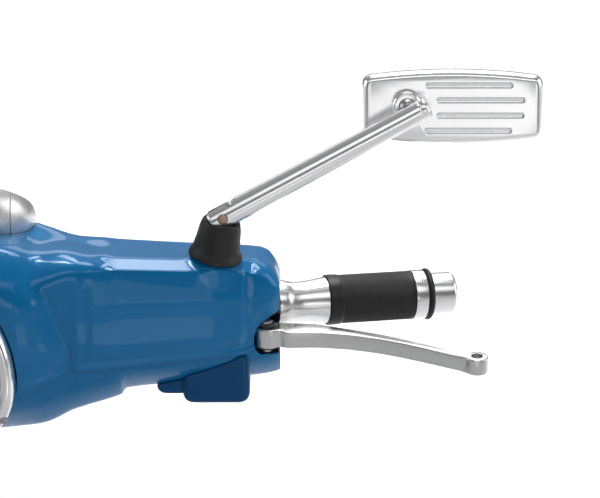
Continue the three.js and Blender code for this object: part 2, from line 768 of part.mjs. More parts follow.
function mirrorHousing() {
  const { back, depth } = PLATE;
  const shell = join(plateXZ(plateShape(3), back, back + 3), plateXZ(plateShape(0), back + 2.5, back + depth));
  const socket = alongY(rod(BALL.y - 1.5, back + 1, 10.4)).translate(BALL.x, 0, BALL.z);
  const pocket = plateXZ(plateShape(3.4), back + depth - 3.4, back + depth + 5);
  const cup = new THREE.SphereGeometry(6 + RUN, 12, 6).translate(...BALL);
  const mouth = alongY(rod(BALL.y - 10, BALL.y, 5.6, 12)).translate(BALL.x, 0, BALL.z);
  return cut(join(shell, socket), pocket, cup, mouth);
}

function mirrorGlass() {
  const { back, depth } = PLATE;
  return plateXZ(plateShape(3.8), back + depth - 3, back + depth - 0.6);
}

function switchBlock(pockets) {
  const { x, y, z } = SWITCH;
  return cut(box(x, y, z), ...pockets);
}

const POCKET_DEPTH = 3.4;

function roundButton(x, z, grow) {
  const deeper = grow > 0 ? POCKET_DEPTH : 0;
  return alongY(rod(32 - deeper, 42.5 + deeper, 5.6 + grow)).translate(x, 0, z);
}

function wideButton(x, z, halfX, halfZ, top, grow) {
  const deeper = grow > 0 ? POCKET_DEPTH : 0;
  const shape = roundedRectangle(x - halfX - grow, x + halfX + grow, z - halfZ - grow, z + halfZ + grow, 2.5);
  return plateXZ(shape, 32 - deeper, top + deeper, 3);
}

const SLACK = 0.4; // round a button that slides
const ROCK = 1.3; // round a button that rocks
const SLIDE = 4;
const BUTTONS = {
  left: [
    { name: "horn_button", button: roundButton(106, -9, 0), pocket: roundButton(106, -9, SLACK) },
    {
      name: "turn_signal_slider",
      button: wideButton(106, 2.5, 5, 3, 43, 0),
      pocket: wideButton(106, 2.5, 5 + SLIDE, 3, 43, SLACK),
    },
    {
      name: "beam_rocker",
      button: wideButton(106, 12.5, 8, 4, 41, 0),
      pocket: wideButton(106, 12.5, 8, 4, 41, ROCK),
    },
  ],
  right: [
    { name: "start_button", button: roundButton(106, -8, 0), pocket: roundButton(106, -8, SLACK) },
    {
      name: "stop_rocker",
      button: wideButton(106, 9, 8, 4.5, 41, 0),
      pocket: wideButton(106, 9, 8, 4.5, 41, ROCK),
    },
  ],
};

function addSide(side) {
  const half = new THREE.Group();
  half.scale.x = side === "left" ? 1 : -1;
  head.add(half);
  const bar = new THREE.Group();
  bar.applyMatrix4(BAR_SIDE);
  half.add(bar);
  const name = (part) => `${part}_${side}`;

  add(bar, name("grip_sleeve"), gripSleeve(), ALUMINIUM);
  add(bar, name("grip_rubber"), gripRubber(), RUBBER_BLACK);
  add(bar, name("bar_end_cap"), endCap(), ALUMINIUM);
  add(bar, name("bar_end_seal"), endSeal(), RUBBER_BLACK);
  add(bar, name("brake_pump"), pump(), PLASTIC);
  add(bar, name("pump_piston"), piston(), STEEL);
  add(half, name("pump_cover"), pumpCover(), PAINT);
  add(half, name("end_plate"), endPlate(), PLASTIC);
  add(half, name("brake_lever"), lever(), ALUMINIUM);
  add(half, name("lever_pivot_bolt"), pivotBolt(), STEEL);
  add(half, name("mirror_boot"), boot(), RUBBER_BLACK);
  add(half, name("mirror_stem"), mirrorStem(), STEEL);
  add(half, name("mirror_pin"), mirrorPin(), STEEL);
  add(half, name("mirror_arm"), mirrorArm(), CHROME);
  add(half, name("mirror_ball"), mirrorBall(), STEEL);
  add(half, name("mirror_housing"), mirrorHousing(), ALUMINIUM);
  add(half, name("mirror_glass"), mirrorGlass(), MIRROR);
  add(bar, name("switch_block"), switchBlock(BUTTONS[side].map(({ pocket }) => pocket)), PLASTIC);
  for (const { name: label, button } of BUTTONS[side]) add(bar, label, button, PLASTIC);
}

add(head, "front_cover", frontCover(), PAINT);
add(head, "rear_cover", rearCover(), PAINT);
addSteering();
addHandlebar();
addHeadlight();
addCluster();
addSide("left");
addSide("right");

export default group;
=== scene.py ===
"""Visual model of a scooter handlebar head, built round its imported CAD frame. Lengths are in mm
from the middle of the handlebar until a piece is placed; placed pieces are in metres."""
import bisect
import math

import bmesh
import bpy
import numpy as np
from mathutils import Matrix, Vector


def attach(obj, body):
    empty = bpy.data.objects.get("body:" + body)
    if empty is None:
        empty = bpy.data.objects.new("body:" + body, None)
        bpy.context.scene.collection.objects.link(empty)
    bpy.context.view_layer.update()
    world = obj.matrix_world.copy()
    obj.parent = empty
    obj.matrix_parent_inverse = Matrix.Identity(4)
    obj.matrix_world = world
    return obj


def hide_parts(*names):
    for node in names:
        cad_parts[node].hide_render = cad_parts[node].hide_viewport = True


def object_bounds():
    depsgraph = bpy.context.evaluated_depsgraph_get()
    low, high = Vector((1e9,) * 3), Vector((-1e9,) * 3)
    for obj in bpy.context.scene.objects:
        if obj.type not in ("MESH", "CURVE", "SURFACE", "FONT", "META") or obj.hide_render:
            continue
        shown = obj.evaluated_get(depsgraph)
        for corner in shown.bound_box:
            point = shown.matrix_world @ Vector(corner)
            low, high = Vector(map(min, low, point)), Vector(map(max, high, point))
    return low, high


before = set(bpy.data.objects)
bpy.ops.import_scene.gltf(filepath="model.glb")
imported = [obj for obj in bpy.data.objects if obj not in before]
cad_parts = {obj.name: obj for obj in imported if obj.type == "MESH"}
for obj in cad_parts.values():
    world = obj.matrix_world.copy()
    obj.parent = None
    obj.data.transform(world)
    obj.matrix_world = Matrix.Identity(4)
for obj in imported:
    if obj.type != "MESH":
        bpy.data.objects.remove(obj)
cad_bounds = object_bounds()

MM = 0.001
GAP = 0.35
RAKE = math.radians(24)
shift = Matrix.Translation


def turned_by(degrees, axis):
    return Matrix.Rotation(math.radians(degrees), 4, axis)


STEM_HEIGHT, STEM_BACK = 205, 14
HEAD = shift((0, STEM_HEIGHT * math.sin(RAKE) - STEM_BACK, STEM_HEIGHT * math.cos(RAKE)))
STEM_AXIS = shift((0, STEM_BACK, 0)) @ Matrix.Rotation(-RAKE, 4, "X")
SIDES = {"left": 1, "right": -1}


def linked(name, data):
    """New object in the scene."""
    made = bpy.data.objects.new(name, data)
    bpy.context.scene.collection.objects.link(made)
    return made

# ---------------------------------------------------------------- camera, light, floor


def camera():
    data = bpy.data.cameras.new("Camera")
    data.lens = 166.67
    data.sensor_width = 36
    data.clip_end = 60
    cam = linked("Camera", data)
    target = Vector((0.2664, 0.09938, 0.22878))
    elevation, distance = math.radians(12), 2.0
    back = Vector((0, -math.cos(elevation), math.sin(elevation)))
    cam.location = target + back * distance
    cam.rotation_mode = "QUATERNION"
    cam.rotation_quaternion = (-back).to_track_quat("-Z", "Y")
    bpy.context.scene.camera = cam


def soft_light(name, place, target, size, power, spread):
    data = bpy.data.lights.new(name, "AREA")
    data.shape = "RECTANGLE"
    data.size, data.size_y = size
    data.energy = power
    data.spread = math.radians(spread)
    lamp = linked(name, data)
    lamp.location = place
    lamp.visible_camera = False
    aim = Vector(target) - Vector(place)
    lamp.rotation_mode = "QUATERNION"
    lamp.rotation_quaternion = aim.to_track_quat("-Z", "Y")


SOFT_BOXES = (  # name, place, target, size, power, spread in degrees
    ("TopBack", (0.5, 0.82, 2.0), (0.15, 0.0, 0.2), (1.2, 0.36), 1.6, 60),
    ("BackBox", (0.2, 1.8, 1.6), (0.15, 0.0, 0.2), (2.4, 0.5), 2, 90),
    ("FrontTop", (0.3, -1.5, 1.5), (0.2, 0.1, 0.25), (3.2, 0.9), 6, 120),
    ("LeftBox", (2.1, -0.1, 0.85), (0.2, 0.0, 0.2), (1.4, 1.4), 6, 120),
    ("RightBox", (-2.1, -0.1, 0.85), (0.0, 0.0, 0.2), (1.4, 1.4), 6, 120),
    ("LowFront", (0.45, -1.5, 0.14), (0.4, 0.0, 0.3), (1.0, 0.26), 1.25, 180),
    ("ArmBox", (0.55, -0.62, 0.125), (0.2, 0.0, 0.2), (0.15, 0.15), 0.055, 180),
    ("LowArmBox", (0.355, -0.325, 0.02), (0.19, 0.0, 0.16), (0.17, 0.08), 0.032, 180),
    ("FloorWash", (0.2, 2.8, 2.6), (0.2, 2.8, 0.0), (5.0, 5.0), 130, 30),
)


def studio():
    """Pale surround, whose light is weaker towards the front, with soft boxes on all sides."""
    world = bpy.data.worlds.new("Studio")
    bpy.context.scene.world = world
    world.use_nodes = True
    tree = world.node_tree
    tree.nodes.clear()
    coordinate = tree.nodes.new("ShaderNodeTexCoord")
    slope = tree.nodes.new("ShaderNodeVectorMath")
    slope.operation = "DOT_PRODUCT"
    slope.inputs[1].default_value = (0, 0.55, 0.8)
    ramp = tree.nodes.new("ShaderNodeValToRGB")
    background = tree.nodes.new("ShaderNodeBackground")
    output = tree.nodes.new("ShaderNodeOutputWorld")
    tree.links.new(coordinate.outputs["Generated"], slope.inputs[0])
    tree.links.new(slope.outputs["Value"], ramp.inputs[0])
    path = tree.nodes.new("ShaderNodeLightPath")
    seen = tree.nodes.new("ShaderNodeMix")
    seen.data_type = "RGBA"
    seen.inputs[7].default_value = (0.84, 0.84, 0.85, 1)
    tree.links.new(path.outputs["Is Camera Ray"], seen.inputs["Factor"])
    tree.links.new(ramp.outputs[0], seen.inputs[6])
    tree.links.new(seen.outputs[2], background.inputs[0])
    tree.links.new(background.outputs[0], output.inputs[0])
    stops = ramp.color_ramp.elements
    stops[0].position, stops[0].color = 0.0, (0.08, 0.081, 0.085, 1)
    stops[1].position, stops[1].color = 0.9, (0.32, 0.32, 0.33, 1)
    middle = stops.new(0.35)
    middle.color = (0.15, 0.152, 0.156, 1)
    bpy.context.scene.view_settings.view_transform = "Standard"

    for box in SOFT_BOXES:
        soft_light(*box)


def floor():
    lowest = cad_bounds[0].z
    size = 30
    mesh = bpy.data.meshes.new("Floor")
    mesh.from_pydata([(-size, -size, lowest), (size, -size, lowest), (size, size, lowest),
                      (-size, size, lowest)], [], [(0, 1, 2, 3)])
    ground = linked("Floor", mesh)
    mesh.materials.append(finish("floor", (0.7, 0.7, 0.7), dark=0.995, rough=(0.8, 0.9), blotch=2,
                                 specular=0.1))


# ---------------------------------------------------------------- materials


def finish(name, color, dark=0.88, metallic=0.0, rough=(0.3, 0.4), blotch=60, grain=900, bump=0.0,
           bump_scale=None, stretch=(1, 1, 1), coat=0.0, coat_rough=0.04, specular=0.5,
           transmission=0.0, ior=1.5):
    """Shader with blotchy colour, uneven roughness and fine bump, all from noise."""
    made = bpy.data.materials.new(name)
    made.use_nodes = True
    tree = made.node_tree
    shader = tree.nodes["Principled BSDF"]
    for socket, value in (("Metallic", metallic), ("Coat Weight", coat), ("Coat Roughness", coat_rough),
                          ("Specular IOR Level", specular), ("Transmission Weight", transmission),
                          ("IOR", ior)):
        shader.inputs[socket].default_value = value
    coordinate = tree.nodes.new("ShaderNodeTexCoord")
    mapping = tree.nodes.new("ShaderNodeMapping")
    mapping.inputs["Scale"].default_value = stretch
    tree.links.new(coordinate.outputs["Object"], mapping.inputs[0])

    def noise(scale, detail):
        node = tree.nodes.new("ShaderNodeTexNoise")
        node.inputs["Scale"].default_value = scale
        node.inputs["Detail"].default_value = detail
        tree.links.new(mapping.outputs[0], node.inputs["Vector"])
        return node.outputs["Fac"]

    shade = tree.nodes.new("ShaderNodeValToRGB")
    low, high = shade.color_ramp.elements
    low.position, high.position = 0.3, 0.7
    low.color = (*[c * dark for c in color], 1)
    high.color = (*color, 1)
    tree.links.new(noise(blotch, 5), shade.inputs[0])
    tree.links.new(shade.outputs[0], shader.inputs["Base Color"])
    ramp = tree.nodes.new("ShaderNodeMapRange")
    ramp.inputs["From Min"].default_value = 0.3
    ramp.inputs["From Max"].default_value = 0.7
    ramp.inputs["To Min"].default_value, ramp.inputs["To Max"].default_value = rough
    tree.links.new(noise(grain, 4), ramp.inputs["Value"])
    tree.links.new(ramp.outputs[0], shader.inputs["Roughness"])
    if bump:
        relief = tree.nodes.new("ShaderNodeBump")
        relief.inputs["Strength"].default_value = 1.0
        relief.inputs["Distance"].default_value = bump * MM
        tree.links.new(noise(bump_scale or grain, 3), relief.inputs["Height"])
        tree.links.new(relief.outputs[0], shader.inputs["Normal"])
    return made


PAINT = finish("blue_paint", (0.001, 0.155, 0.385), dark=0.95, metallic=0.1, rough=(0.3, 0.36), blotch=9,
               grain=2600, specular=0.1, coat=0.5, coat_rough=0.012)
# Darker copy of the blue paint, for the pump cover: painted shade, standing in for the shade that falls
# under the arm.
PAINT_WITH_PAINTED_SHADE = finish("blue_paint_with_painted_shade", (0.0006, 0.062, 0.185), dark=0.92, metallic=0.1, rough=(0.3, 0.36),
                     blotch=20, grain=2600, specular=0.08, coat=0.25, coat_rough=0.03)
CHROME = finish("chrome", (0.86, 0.85, 0.85), dark=0.95, metallic=1.0, rough=(0.13, 0.2), blotch=25,
                grain=45, bump=0.002, bump_scale=120)
SATIN = finish("satin_chrome", (0.78, 0.77, 0.765), dark=0.96, metallic=0.9, rough=(0.32, 0.4), blotch=25,
               grain=500, bump=0.002, bump_scale=600)
POLISHED = finish("polished_aluminium", (0.88, 0.88, 0.885), dark=0.97, metallic=0.95, rough=(0.24, 0.255),
                  blotch=30, grain=500)
BRUSHED = finish("brushed_aluminium", (0.6, 0.598, 0.59), dark=0.96, metallic=1.0, rough=(0.23, 0.25),
                 blotch=40, grain=600, stretch=(0.15, 1, 1))
KNURLED_RUBBER = finish("grip_rubber", (0.011, 0.011, 0.0115), dark=0.7, rough=(0.34, 0.5), blotch=70,
                        grain=1800, bump=0.02, bump_scale=2500, specular=0.4)
BLACK_RUBBER = finish("black_rubber", (0.014, 0.0135, 0.013), dark=0.72, rough=(0.42, 0.6), blotch=60,
                      grain=900, bump=0.02, bump_scale=1500, specular=0.42)
BLACK_PLASTIC = finish("black_plastic", (0.018, 0.018, 0.02), dark=0.85, rough=(0.32, 0.46), blotch=50,
                       grain=1500, bump=0.03, bump_scale=1700)
RED_PLASTIC = finish("red_plastic", (0.50, 0.018, 0.012), dark=0.85, rough=(0.28, 0.4), blotch=80,
                     grain=1200, bump=0.01, bump_scale=1500)
CASTING = finish("pump_casting", (0.09, 0.095, 0.10), dark=0.75, metallic=0.7, rough=(0.42, 0.6), blotch=90,
                 grain=800, bump=0.05, bump_scale=1100)
STEEL = finish("steel", (0.45, 0.45, 0.46), dark=0.85, metallic=1.0, rough=(0.28, 0.42), blotch=60,
               grain=900, bump=0.01, bump_scale=1400, stretch=(1, 1, 0.15))
BRONZE = finish("bronze_pin", (0.42, 0.30, 0.22), dark=0.85, metallic=1.0, rough=(0.28, 0.4), blotch=200,
                grain=1500, bump=0.006)
GLASS = finish("clear_glass", (1, 1, 1), dark=0.99, rough=(0.02, 0.04), transmission=1.0, ior=1.47,
               blotch=20, grain=30)
MIRROR = finish("mirror_glass", (0.88, 0.9, 0.91), dark=0.97, metallic=1.0, rough=(0.015, 0.03), blotch=15,
                grain=20)
DIAL = finish("dial_face", (0.72, 0.72, 0.70), dark=0.96, rough=(0.45, 0.55), blotch=80, grain=1500,
              bump=0.004)
DIAL_INK = finish("dial_ink", (0.015, 0.015, 0.018), dark=0.8, rough=(0.4, 0.5), blotch=200, grain=1500)
DARK_STEEL = finish("dark_steel", (0.05, 0.05, 0.052), dark=0.7, metallic=0.9, rough=(0.35, 0.5),
                    blotch=150, grain=1500, bump=0.01)

# ---------------------------------------------------------------- mesh making


def body_from(verts, faces):
    """Loose object with outward faces."""
    mesh = bpy.data.meshes.new("shape")
    mesh.from_pydata([tuple(map(float, v)) for v in verts], [], faces)
    work = bmesh.new()
    work.from_mesh(mesh)
    bmesh.ops.recalc_face_normals(work, faces=work.faces)
    work.to_mesh(mesh)
    work.free()
    return linked("shape", mesh)


def bands(rows, count):
    """Quads between rows of a closed loop."""
    return [[r * count + k, r * count + (k + 1) % count, (r + 1) * count + (k + 1) % count,
             (r + 1) * count + k] for r in range(rows - 1) for k in range(count)]


def capped(verts, rows, count):
    """Solid through rows of a closed loop, with flat ends."""
    ends = [list(range(count)), [(rows - 1) * count + k for k in range(count)]]
    return body_from(verts, bands(rows, count) + ends)


def quadratic(start, middle, end, t):
    return start * (1 - t) ** 2 + middle * 2 * t * (1 - t) + end * t * t


def rounded(points, radius, steps=4, closed=False):
    """Polyline with its corners rounded off."""
    points = [Vector(p) for p in points]
    out = []
    for i, p in enumerate(points):
        if not closed and i in (0, len(points) - 1):
            out.append(p)
            continue
        a, c = points[i - 1] - p, points[(i + 1) % len(points)] - p
        if a.length < 1e-6 or c.length < 1e-6:
            continue
        size = min(radius, a.length * 0.45, c.length * 0.45)
        if a.normalized().dot(c.normalized()) < -0.995:
            out.append(p)
            continue
        a, c = a.normalized() * size, c.normalized() * size
        for k in range(steps + 1):
            t = k / steps
            out.append(p + a * (1 - t) ** 2 + c * t**2)
    return out


def turned(profile, segments=96, fillet=0.0, closed=False, axis="X"):
    """Solid of revolution; the profile holds (along the axis, radius)."""
    line = rounded(profile, fillet, closed=closed) if fillet else [Vector(p) for p in profile]
    verts, rings = [], []
    for along, radius in line:
        if radius < 1e-6:
            verts.append((along, 0, 0))
            rings.append([len(verts) - 1] * segments)
            continue
        first = len(verts)
        for k in range(segments):
            angle = 2 * math.pi * k / segments
            verts.append((along, radius * math.cos(angle), radius * math.sin(angle)))
        rings.append(list(range(first, first + segments)))
    pairs = list(zip(rings, rings[1:]))
    if closed:
        pairs.append((rings[-1], rings[0]))
    faces = []
    for one, two in pairs:
        for k in range(segments):
            n = (k + 1) % segments
            face = [one[k], one[n], two[n], two[k]]
            face = [v for i, v in enumerate(face) if v != face[i - 1]]
            if len(face) > 2:
                faces.append(face)
    turn = {"X": Matrix.Identity(4), "Y": Matrix.Rotation(math.pi / 2, 4, "Z"),
            "Z": Matrix.Rotation(-math.pi / 2, 4, "Y")}[axis]
    made = body_from(verts, faces)
    made.data.transform(turn)
    return made


def sphere(radius, rings, segments, axis="Z"):
    turns = [math.pi * k / rings for k in range(rings + 1)]
    return turned([(-radius * math.cos(a), radius * math.sin(a)) for a in turns], segments, axis=axis)


def rod(start, end, radius, axis="X", segments=48, fillet=0.0):
    return turned([(start, 0), (start, radius), (end, radius), (end, 0)], segments, fillet, axis=axis)


def inset_outline(outline, amount):
    """Closed outline moved inwards along its normals."""
    points = np.array(outline, float)
    area = np.sum(points[:, 0] * np.roll(points[:, 1], -1) - np.roll(points[:, 0], -1) * points[:, 1])
    ahead = np.roll(points, -1, 0) - np.roll(points, 1, 0)
    length = np.maximum(np.hypot(ahead[:, 0], ahead[:, 1]), 1e-9)
    inward = np.stack([-ahead[:, 1], ahead[:, 0]], 1) / length[:, None] * math.copysign(1, area)
    return points + inward * amount


def slab(outline, low, high, edge=0.6, axis="Z", steps=4):
    """Flat solid with rounded edges; the outline lies across the axis."""
    layers = [(low, 0)]
    if edge:
        turns = [math.pi / 2 * k / steps for k in range(steps + 1)]
        layers = [(low + edge * (1 - math.cos(a)), edge * (1 - math.sin(a))) for a in turns]
    layers += [(high - (depth - low), inset) for depth, inset in reversed(layers)]
    verts = []
    for depth, inset in layers:
        for u, v in inset_outline(outline, inset) if inset else outline:
            verts.append((u, v, depth) if axis == "Z" else (u, depth, v))
    return capped(verts, len(layers), len(outline))


def block(x, y, z, edge=0.6):
    outline = [(x[0], y[0]), (x[1], y[0]), (x[1], y[1]), (x[0], y[1])]
    return slab(rounded(outline, edge * 2, closed=True) if edge else outline, *z, edge=edge)


def rectangle(x0, x1, z0, z1, radius, steps=6):
    return rounded([(x0, z0), (x1, z0), (x1, z1), (x0, z1)], radius, steps, closed=True)


def moved(made, matrix):
    made.data.transform(matrix)
    if matrix.determinant() < 0:
        made.data.flip_normals()
    return made


def duplicate(made):
    return linked(made.name, made.data.copy())


def combined(base, operation, tools):
    for tool in tools:
        step = base.modifiers.new("step", "BOOLEAN")
        step.operation = operation
        step.solver = "EXACT"
        step.object = tool
        graph = bpy.context.evaluated_depsgraph_get()
        mesh = bpy.data.meshes.new_from_object(base.evaluated_get(graph))
        base.modifiers.clear()
        base.data = mesh
        bpy.data.objects.remove(tool)
    return base


def cut(base, *tools):
    return combined(base, "DIFFERENCE", tools)


def join(base, *tools):
    return combined(base, "UNION", tools)


def place(made, name, body, nodes, slot, material, side=1, angle=34, bevel=0.0):
    """Gives a shape its place, name, body and finish; the slot argument is not used; nodes are the CAD
    nodes it stands for.
    """
    moved(made, Matrix.Scale(MM, 4) @ HEAD @ Matrix.Diagonal((side, 1, 1, 1)))
    made.name = name
    made.data.name = name
    mesh = made.data
    mesh.materials.clear()
    mesh.materials.append(material)
    if bevel:
        round_edges = made.modifiers.new("Edges", "BEVEL")
        round_edges.width = bevel * MM
        round_edges.segments = 2
        round_edges.limit_method = "ANGLE"
        round_edges.angle_limit = math.radians(angle)
        round_edges.use_clamp_overlap = True
    mesh.polygons.foreach_set("use_smooth", [True] * len(mesh.polygons))
    mesh.set_sharp_from_angle(angle=math.radians(angle))
    if bevel:
        made.modifiers.new("Shading", "WEIGHTED_NORMAL").keep_sharp = True
    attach(made, body)
    if nodes:
        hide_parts(*nodes)


def place_both(made, name, body, slot, material, **options):
    """The same shape on both sides; {} in the body's name takes the side."""
    other = duplicate(made)
    for shape, (side, sign) in zip((made, other), SIDES.items()):
        place(shape, f"{name}_{side}_skin", body.format(side), [f"{name}_{side}"], slot, material, sign,
              **options)

# ---------------------------------------------------------------- casing

STATIONS = [  # x, front, back, top, edge, ridge, seam, belly
    (0, -60, 46, 70, 56, 36, -52, -84),
    (45, -59, 46, 67.5, 55, 35, -50, -83),
    (68, -55, 45, 64.5, 53, 35, -45, -81),
    (86, -46, 42, 59, 49.5, 35.5, -39, -78),
    (106, -39, 39, 53, 47, 38, -34, -68.5),
    (138, -37, 37, 49.5, 44.8, 38.4, -32, -60),
    (142, -36.9, 36.9, 49, 44.5, 38.1, -31.9, -55.5),
    (190, -36, 36, 43.8, 40.5, 34, -30, -54),
    (230, -34, 33, 40, 37, 30.5, -29, -52.5),
    (243, -32, 30, 36, 33, 27, -28.8, -51.5),
    (249, -30, 28, 28.5, 26.5, 22, -28.6, -50.5),
    (252, -28, 25, 22, 21, 18, -28.4, -49.5),
]
CORNERS = 13
WALL = 3
BAR_BEND_X = 110
BAR_SWEEP = math.radians(15)
BAR_SIDE = shift((BAR_BEND_X, 0, 0)) @ Matrix.Rotation(BAR_SWEEP, 4, "Z")
BOOT_PLACE = (shift((206, 7, 41.5)) @ turned_by(10.5, "Y")
              @ turned_by(10.5, "X"))
BOOT_AXIS = BOOT_PLACE.to_3x3() @ Vector((0, 0, 1))
BOOT_FOOT = BOOT_PLACE.to_translation()


def smooth(low, high, value):
    t = min(1, max(0, (value - low) / (high - low)))
    return t * t * (3 - 2 * t)


def bar_y(x):
    return max(0, abs(x) - BAR_BEND_X) * math.tan(BAR_SWEEP)


def hermite(p0, m0, p1, m1, t):
    t2, t3 = t * t, t * t * t
    return ((2 * t3 - 3 * t2 + 1) * p0 + (t3 - 2 * t2 + t) * m0 + (3 * t2 - 2 * t3) * p1
            + (t3 - t2) * m1)


def sizes_at(x):
    """Front, back, top, edge, ridge, seam and belly of the casing's section at x."""
    xs = [s[0] for s in STATIONS]
    i = min(len(STATIONS) - 2, max(0, bisect.bisect_right(xs, x) - 1))
    a, b = np.array(STATIONS[i], float), np.array(STATIONS[i + 1], float)
    if i:
        before = np.array(STATIONS[i - 1], float)
    else:
        before = b.copy()
        before[0] = -b[0]
    after = np.array(STATIONS[min(i + 2, len(STATIONS) - 1)], float)
    span = b[0] - a[0]
    slope_a = (b - before) / (b[0] - before[0]) * span
    slope_b = (after - a) / (after[0] - a[0]) * span
    return hermite(a, slope_a, b, slope_b, (x - a[0]) / span)[1:]


def corners_at(x):
    front, back, top, edge, ridge, seam, belly = sizes_at(x)
    return [Vector(c) for c in (
        (front * 0.8, seam), (front * 0.97, seam * 0.5), (front, ridge * 0.4), (front * 0.94, ridge),
        (front * 0.6, edge), (0, (edge + top) / 2), (back * 0.62, top), (back * 0.96, top * 0.55),
        (back, -5), (back * 0.92, belly * 0.55), (back * 0.5, belly * 0.97), (front * 0.05, belly),
        (front * 0.5, belly * 0.55 + seam * 0.45))]


def facet_point(points, i, t, reach):
    """Point on the polygon with its corners rounded over part of each side."""
    count = len(points)
    if reach <= t <= 1 - reach:
        return points[i].lerp(points[(i + 1) % count], t)
    k, s = (i, 0.5 + 0.5 * t / reach) if t < reach else (i + 1, 0.5 * (t - 1 + reach) / reach)
    p, a, c = points[k % count], points[(k - 1) % count], points[(k + 1) % count]
    a, c = p.lerp(a, reach), p.lerp(c, reach)
    return quadratic(a, p, c, s)


SLOT = [(262, 9), (252, 1), (239.5, -6.6)]  # edge of the opening that the lever comes out of
SLOT += [tuple(quadratic(Vector((239.5, -6.6)), Vector((233.4, -11.5)), Vector((233.4, -21)), t))
         for t in (0.2, 0.4, 0.6, 0.8, 1)]
SLOT += [tuple(quadratic(Vector((233.4, -21)), Vector((233.4, -29)), Vector((238, -32)), t))
         for t in (0.25, 0.5, 0.75, 1)]
SLOT += [(262, -33)]
VALLEY = [(-60, 103), (-28.6, 103.5), (-17.6, 104.1), (-10.3, 100.6), (9.6, 92), (30.2, 87.3),
          (63.3, 86.3), (90, 86)]  # height and x of the crease between lamp housing and arm


def slot_distance(x, z):
    p, best = Vector((x, z)), 99
    for a, b in zip(SLOT, SLOT[1:]):
        a, b = Vector(a), Vector(b)
        t = min(1, max(0, (p - a).dot(b - a) / (b - a).length_squared))
        best = min(best, (p - a.lerp(b, t)).length)
    return best


def bell(value, middle, width):
    return math.exp(-(((value - middle) / width) ** 2))


def relief(x, y, z, u):
    """Height of the moulded detail above the plain casing."""
    height = 0.0
    crown = smooth(2.0, 3.0, u) * smooth(6.0, 4.6, u)
    height += crown * (2.6 * bell(x, 104, 13) - 2.4 * bell(x, 79, 10) + 2.2 * bell(x, 44, 16))
    if u < 3.2:
        valley = float(np.interp(z, [v[0] for v in VALLEY], [v[1] for v in VALLEY]))
        height -= 2.6 * math.exp(-abs(x - valley) / 5.5) * smooth(3.0, 2.0, u)
        height += 1.6 * smooth(-3, -12, x - valley) * smooth(-40, -20, x - valley) * smooth(2.9, 2.1, u)
    if 0.5 < u < 3.05:
        height += 0.8 * smooth(116, 121, x) * smooth(228, 225, x) * smooth(0.5, 0.8, u)
        height -= 1.0 * bell(x, 228.5, 2.6)
    if 3.05 <= u < 4.3:
        height -= 1.7 * bell(x, 128, 5) * smooth(4.3, 3.8, u) + 0.9 * bell(x, 232, 3)
    if u < 0.34:
        height += 2.0 * smooth(0.34, 0.2, u) * smooth(0, 0.07, u + 0.035)
    if u > 12.6:
        height -= 1.3 * smooth(12.6, 12.75, u)
    if x > 222 and y < 20 and u < 6.02:
        height -= 3.6 * max(0, 1 - slot_distance(x, z) / 10)
    foot = Vector((x, y + bar_y(x), z)) - BOOT_FOOT
    out = (foot - BOOT_AXIS * foot.dot(BOOT_AXIS)).length
    if z > 20:
        height += 3.5 * max(0, 1 - max(0, out - 14) / 9) ** 2
    return height


SECTION_CACHE = {}


def casing_point(x, u, depth, plain=False):
    side, x = math.copysign(1, x), abs(x)
    if x not in SECTION_CACHE:
        SECTION_CACHE[x] = corners_at(x)
    points = SECTION_CACHE[x]
    i = int(u) % CORNERS
    t = u - int(u)
    before, a, b, after = (points[(i + k) % CORNERS] for k in (-1, 0, 1, 2))
    p = hermite(a, (b - before) * 0.4, b, (after - a) * 0.4, t)
    sharp = smooth(124, 138, x) * smooth(240, 230, x) * smooth(0.3, 1.2, u) * smooth(7.5, 6.2, u)
    p = p.lerp(facet_point(points, i, t, 0.1), sharp)
    lift = -depth if plain else relief(x, p.x, p.y, u) - depth
    p = p * (1 + lift / p.length)
    return side * x, bar_y(x) + p.x, p.y


def cover_xs():
    half = [*np.arange(0, 78, 4.5), *np.arange(78, 138, 2), *np.arange(138, 142, 0.8),
            *np.arange(142, 222, 4), *np.arange(222, 252, 1.25), 252]
    half = [round(float(x), 3) for x in half]
    return [-x for x in reversed(half) if x] + half


def cover_shell(low, high, per_side, inner_steps=20):
    outer = [low + (high - low) * k / per_side for k in range(per_side + 1)]
    inner = [high - (high - low) * k / inner_steps for k in range(inner_steps + 1)]
    loop = ([(outer[0], 0.5)] + [(u, 0) for u in outer[1:-1]] + [(outer[-1], 0.5)]
            + [(u, WALL) for u in inner])
    verts, xs = [], cover_xs()
    for x in xs:
        verts += [casing_point(x, u, depth) for u, depth in loop]
    n = len(loop)
    faces = bands(len(xs), n)
    half = per_side + 1
    for base, flip in ((0, False), ((len(xs) - 1) * n, True)):
        count = inner_steps
        for k in range(count):
            a = base + round(k * per_side / count)
            b = base + round((k + 1) * per_side / count)
            c, d = base + half + count - k - 1, base + half + count - k
            fan = list(range(a, b + 1)) + [c, d]
            faces.append(fan[::-1] if flip else fan)
    return body_from(verts, faces)


def lamp_outline(scale, count=160):
    """Headlight outline, scaled about its lamp's middle."""
    points = []
    for k in range(count):
        angle = 2 * math.pi * k / count
        c, s = math.cos(angle), math.sin(angle)
        power = 1 if s > 0 else 2 / 2.3
        x = math.copysign(abs(c) ** power, c) * 69
        z = -35 + math.copysign(abs(s) ** power, s) * (79 if s > 0 else 53)
        points.append((x * scale, -14 + (z + 14) * scale))
    return points


CLUSTER = shift((0, 22, 65)) @ turned_by(-36, "X")


HOOD = (78, 50, 38)  # half sizes of the instrument hood
DIAL_HALF = (65.5, 37.5)
NUMBERS_R = 24.5


def hood_solid(grow, rings, segments, place_at=Matrix.Identity(4)):
    size = Matrix.Diagonal((*(half + grow for half in HOOD), 1))
    return moved(sphere(1, rings, segments), place_at @ size)


def mirrored(make):
    """The shape and its mirror image."""
    return [make(), moved(make(), Matrix.Diagonal((-1, 1, 1, 1)))]


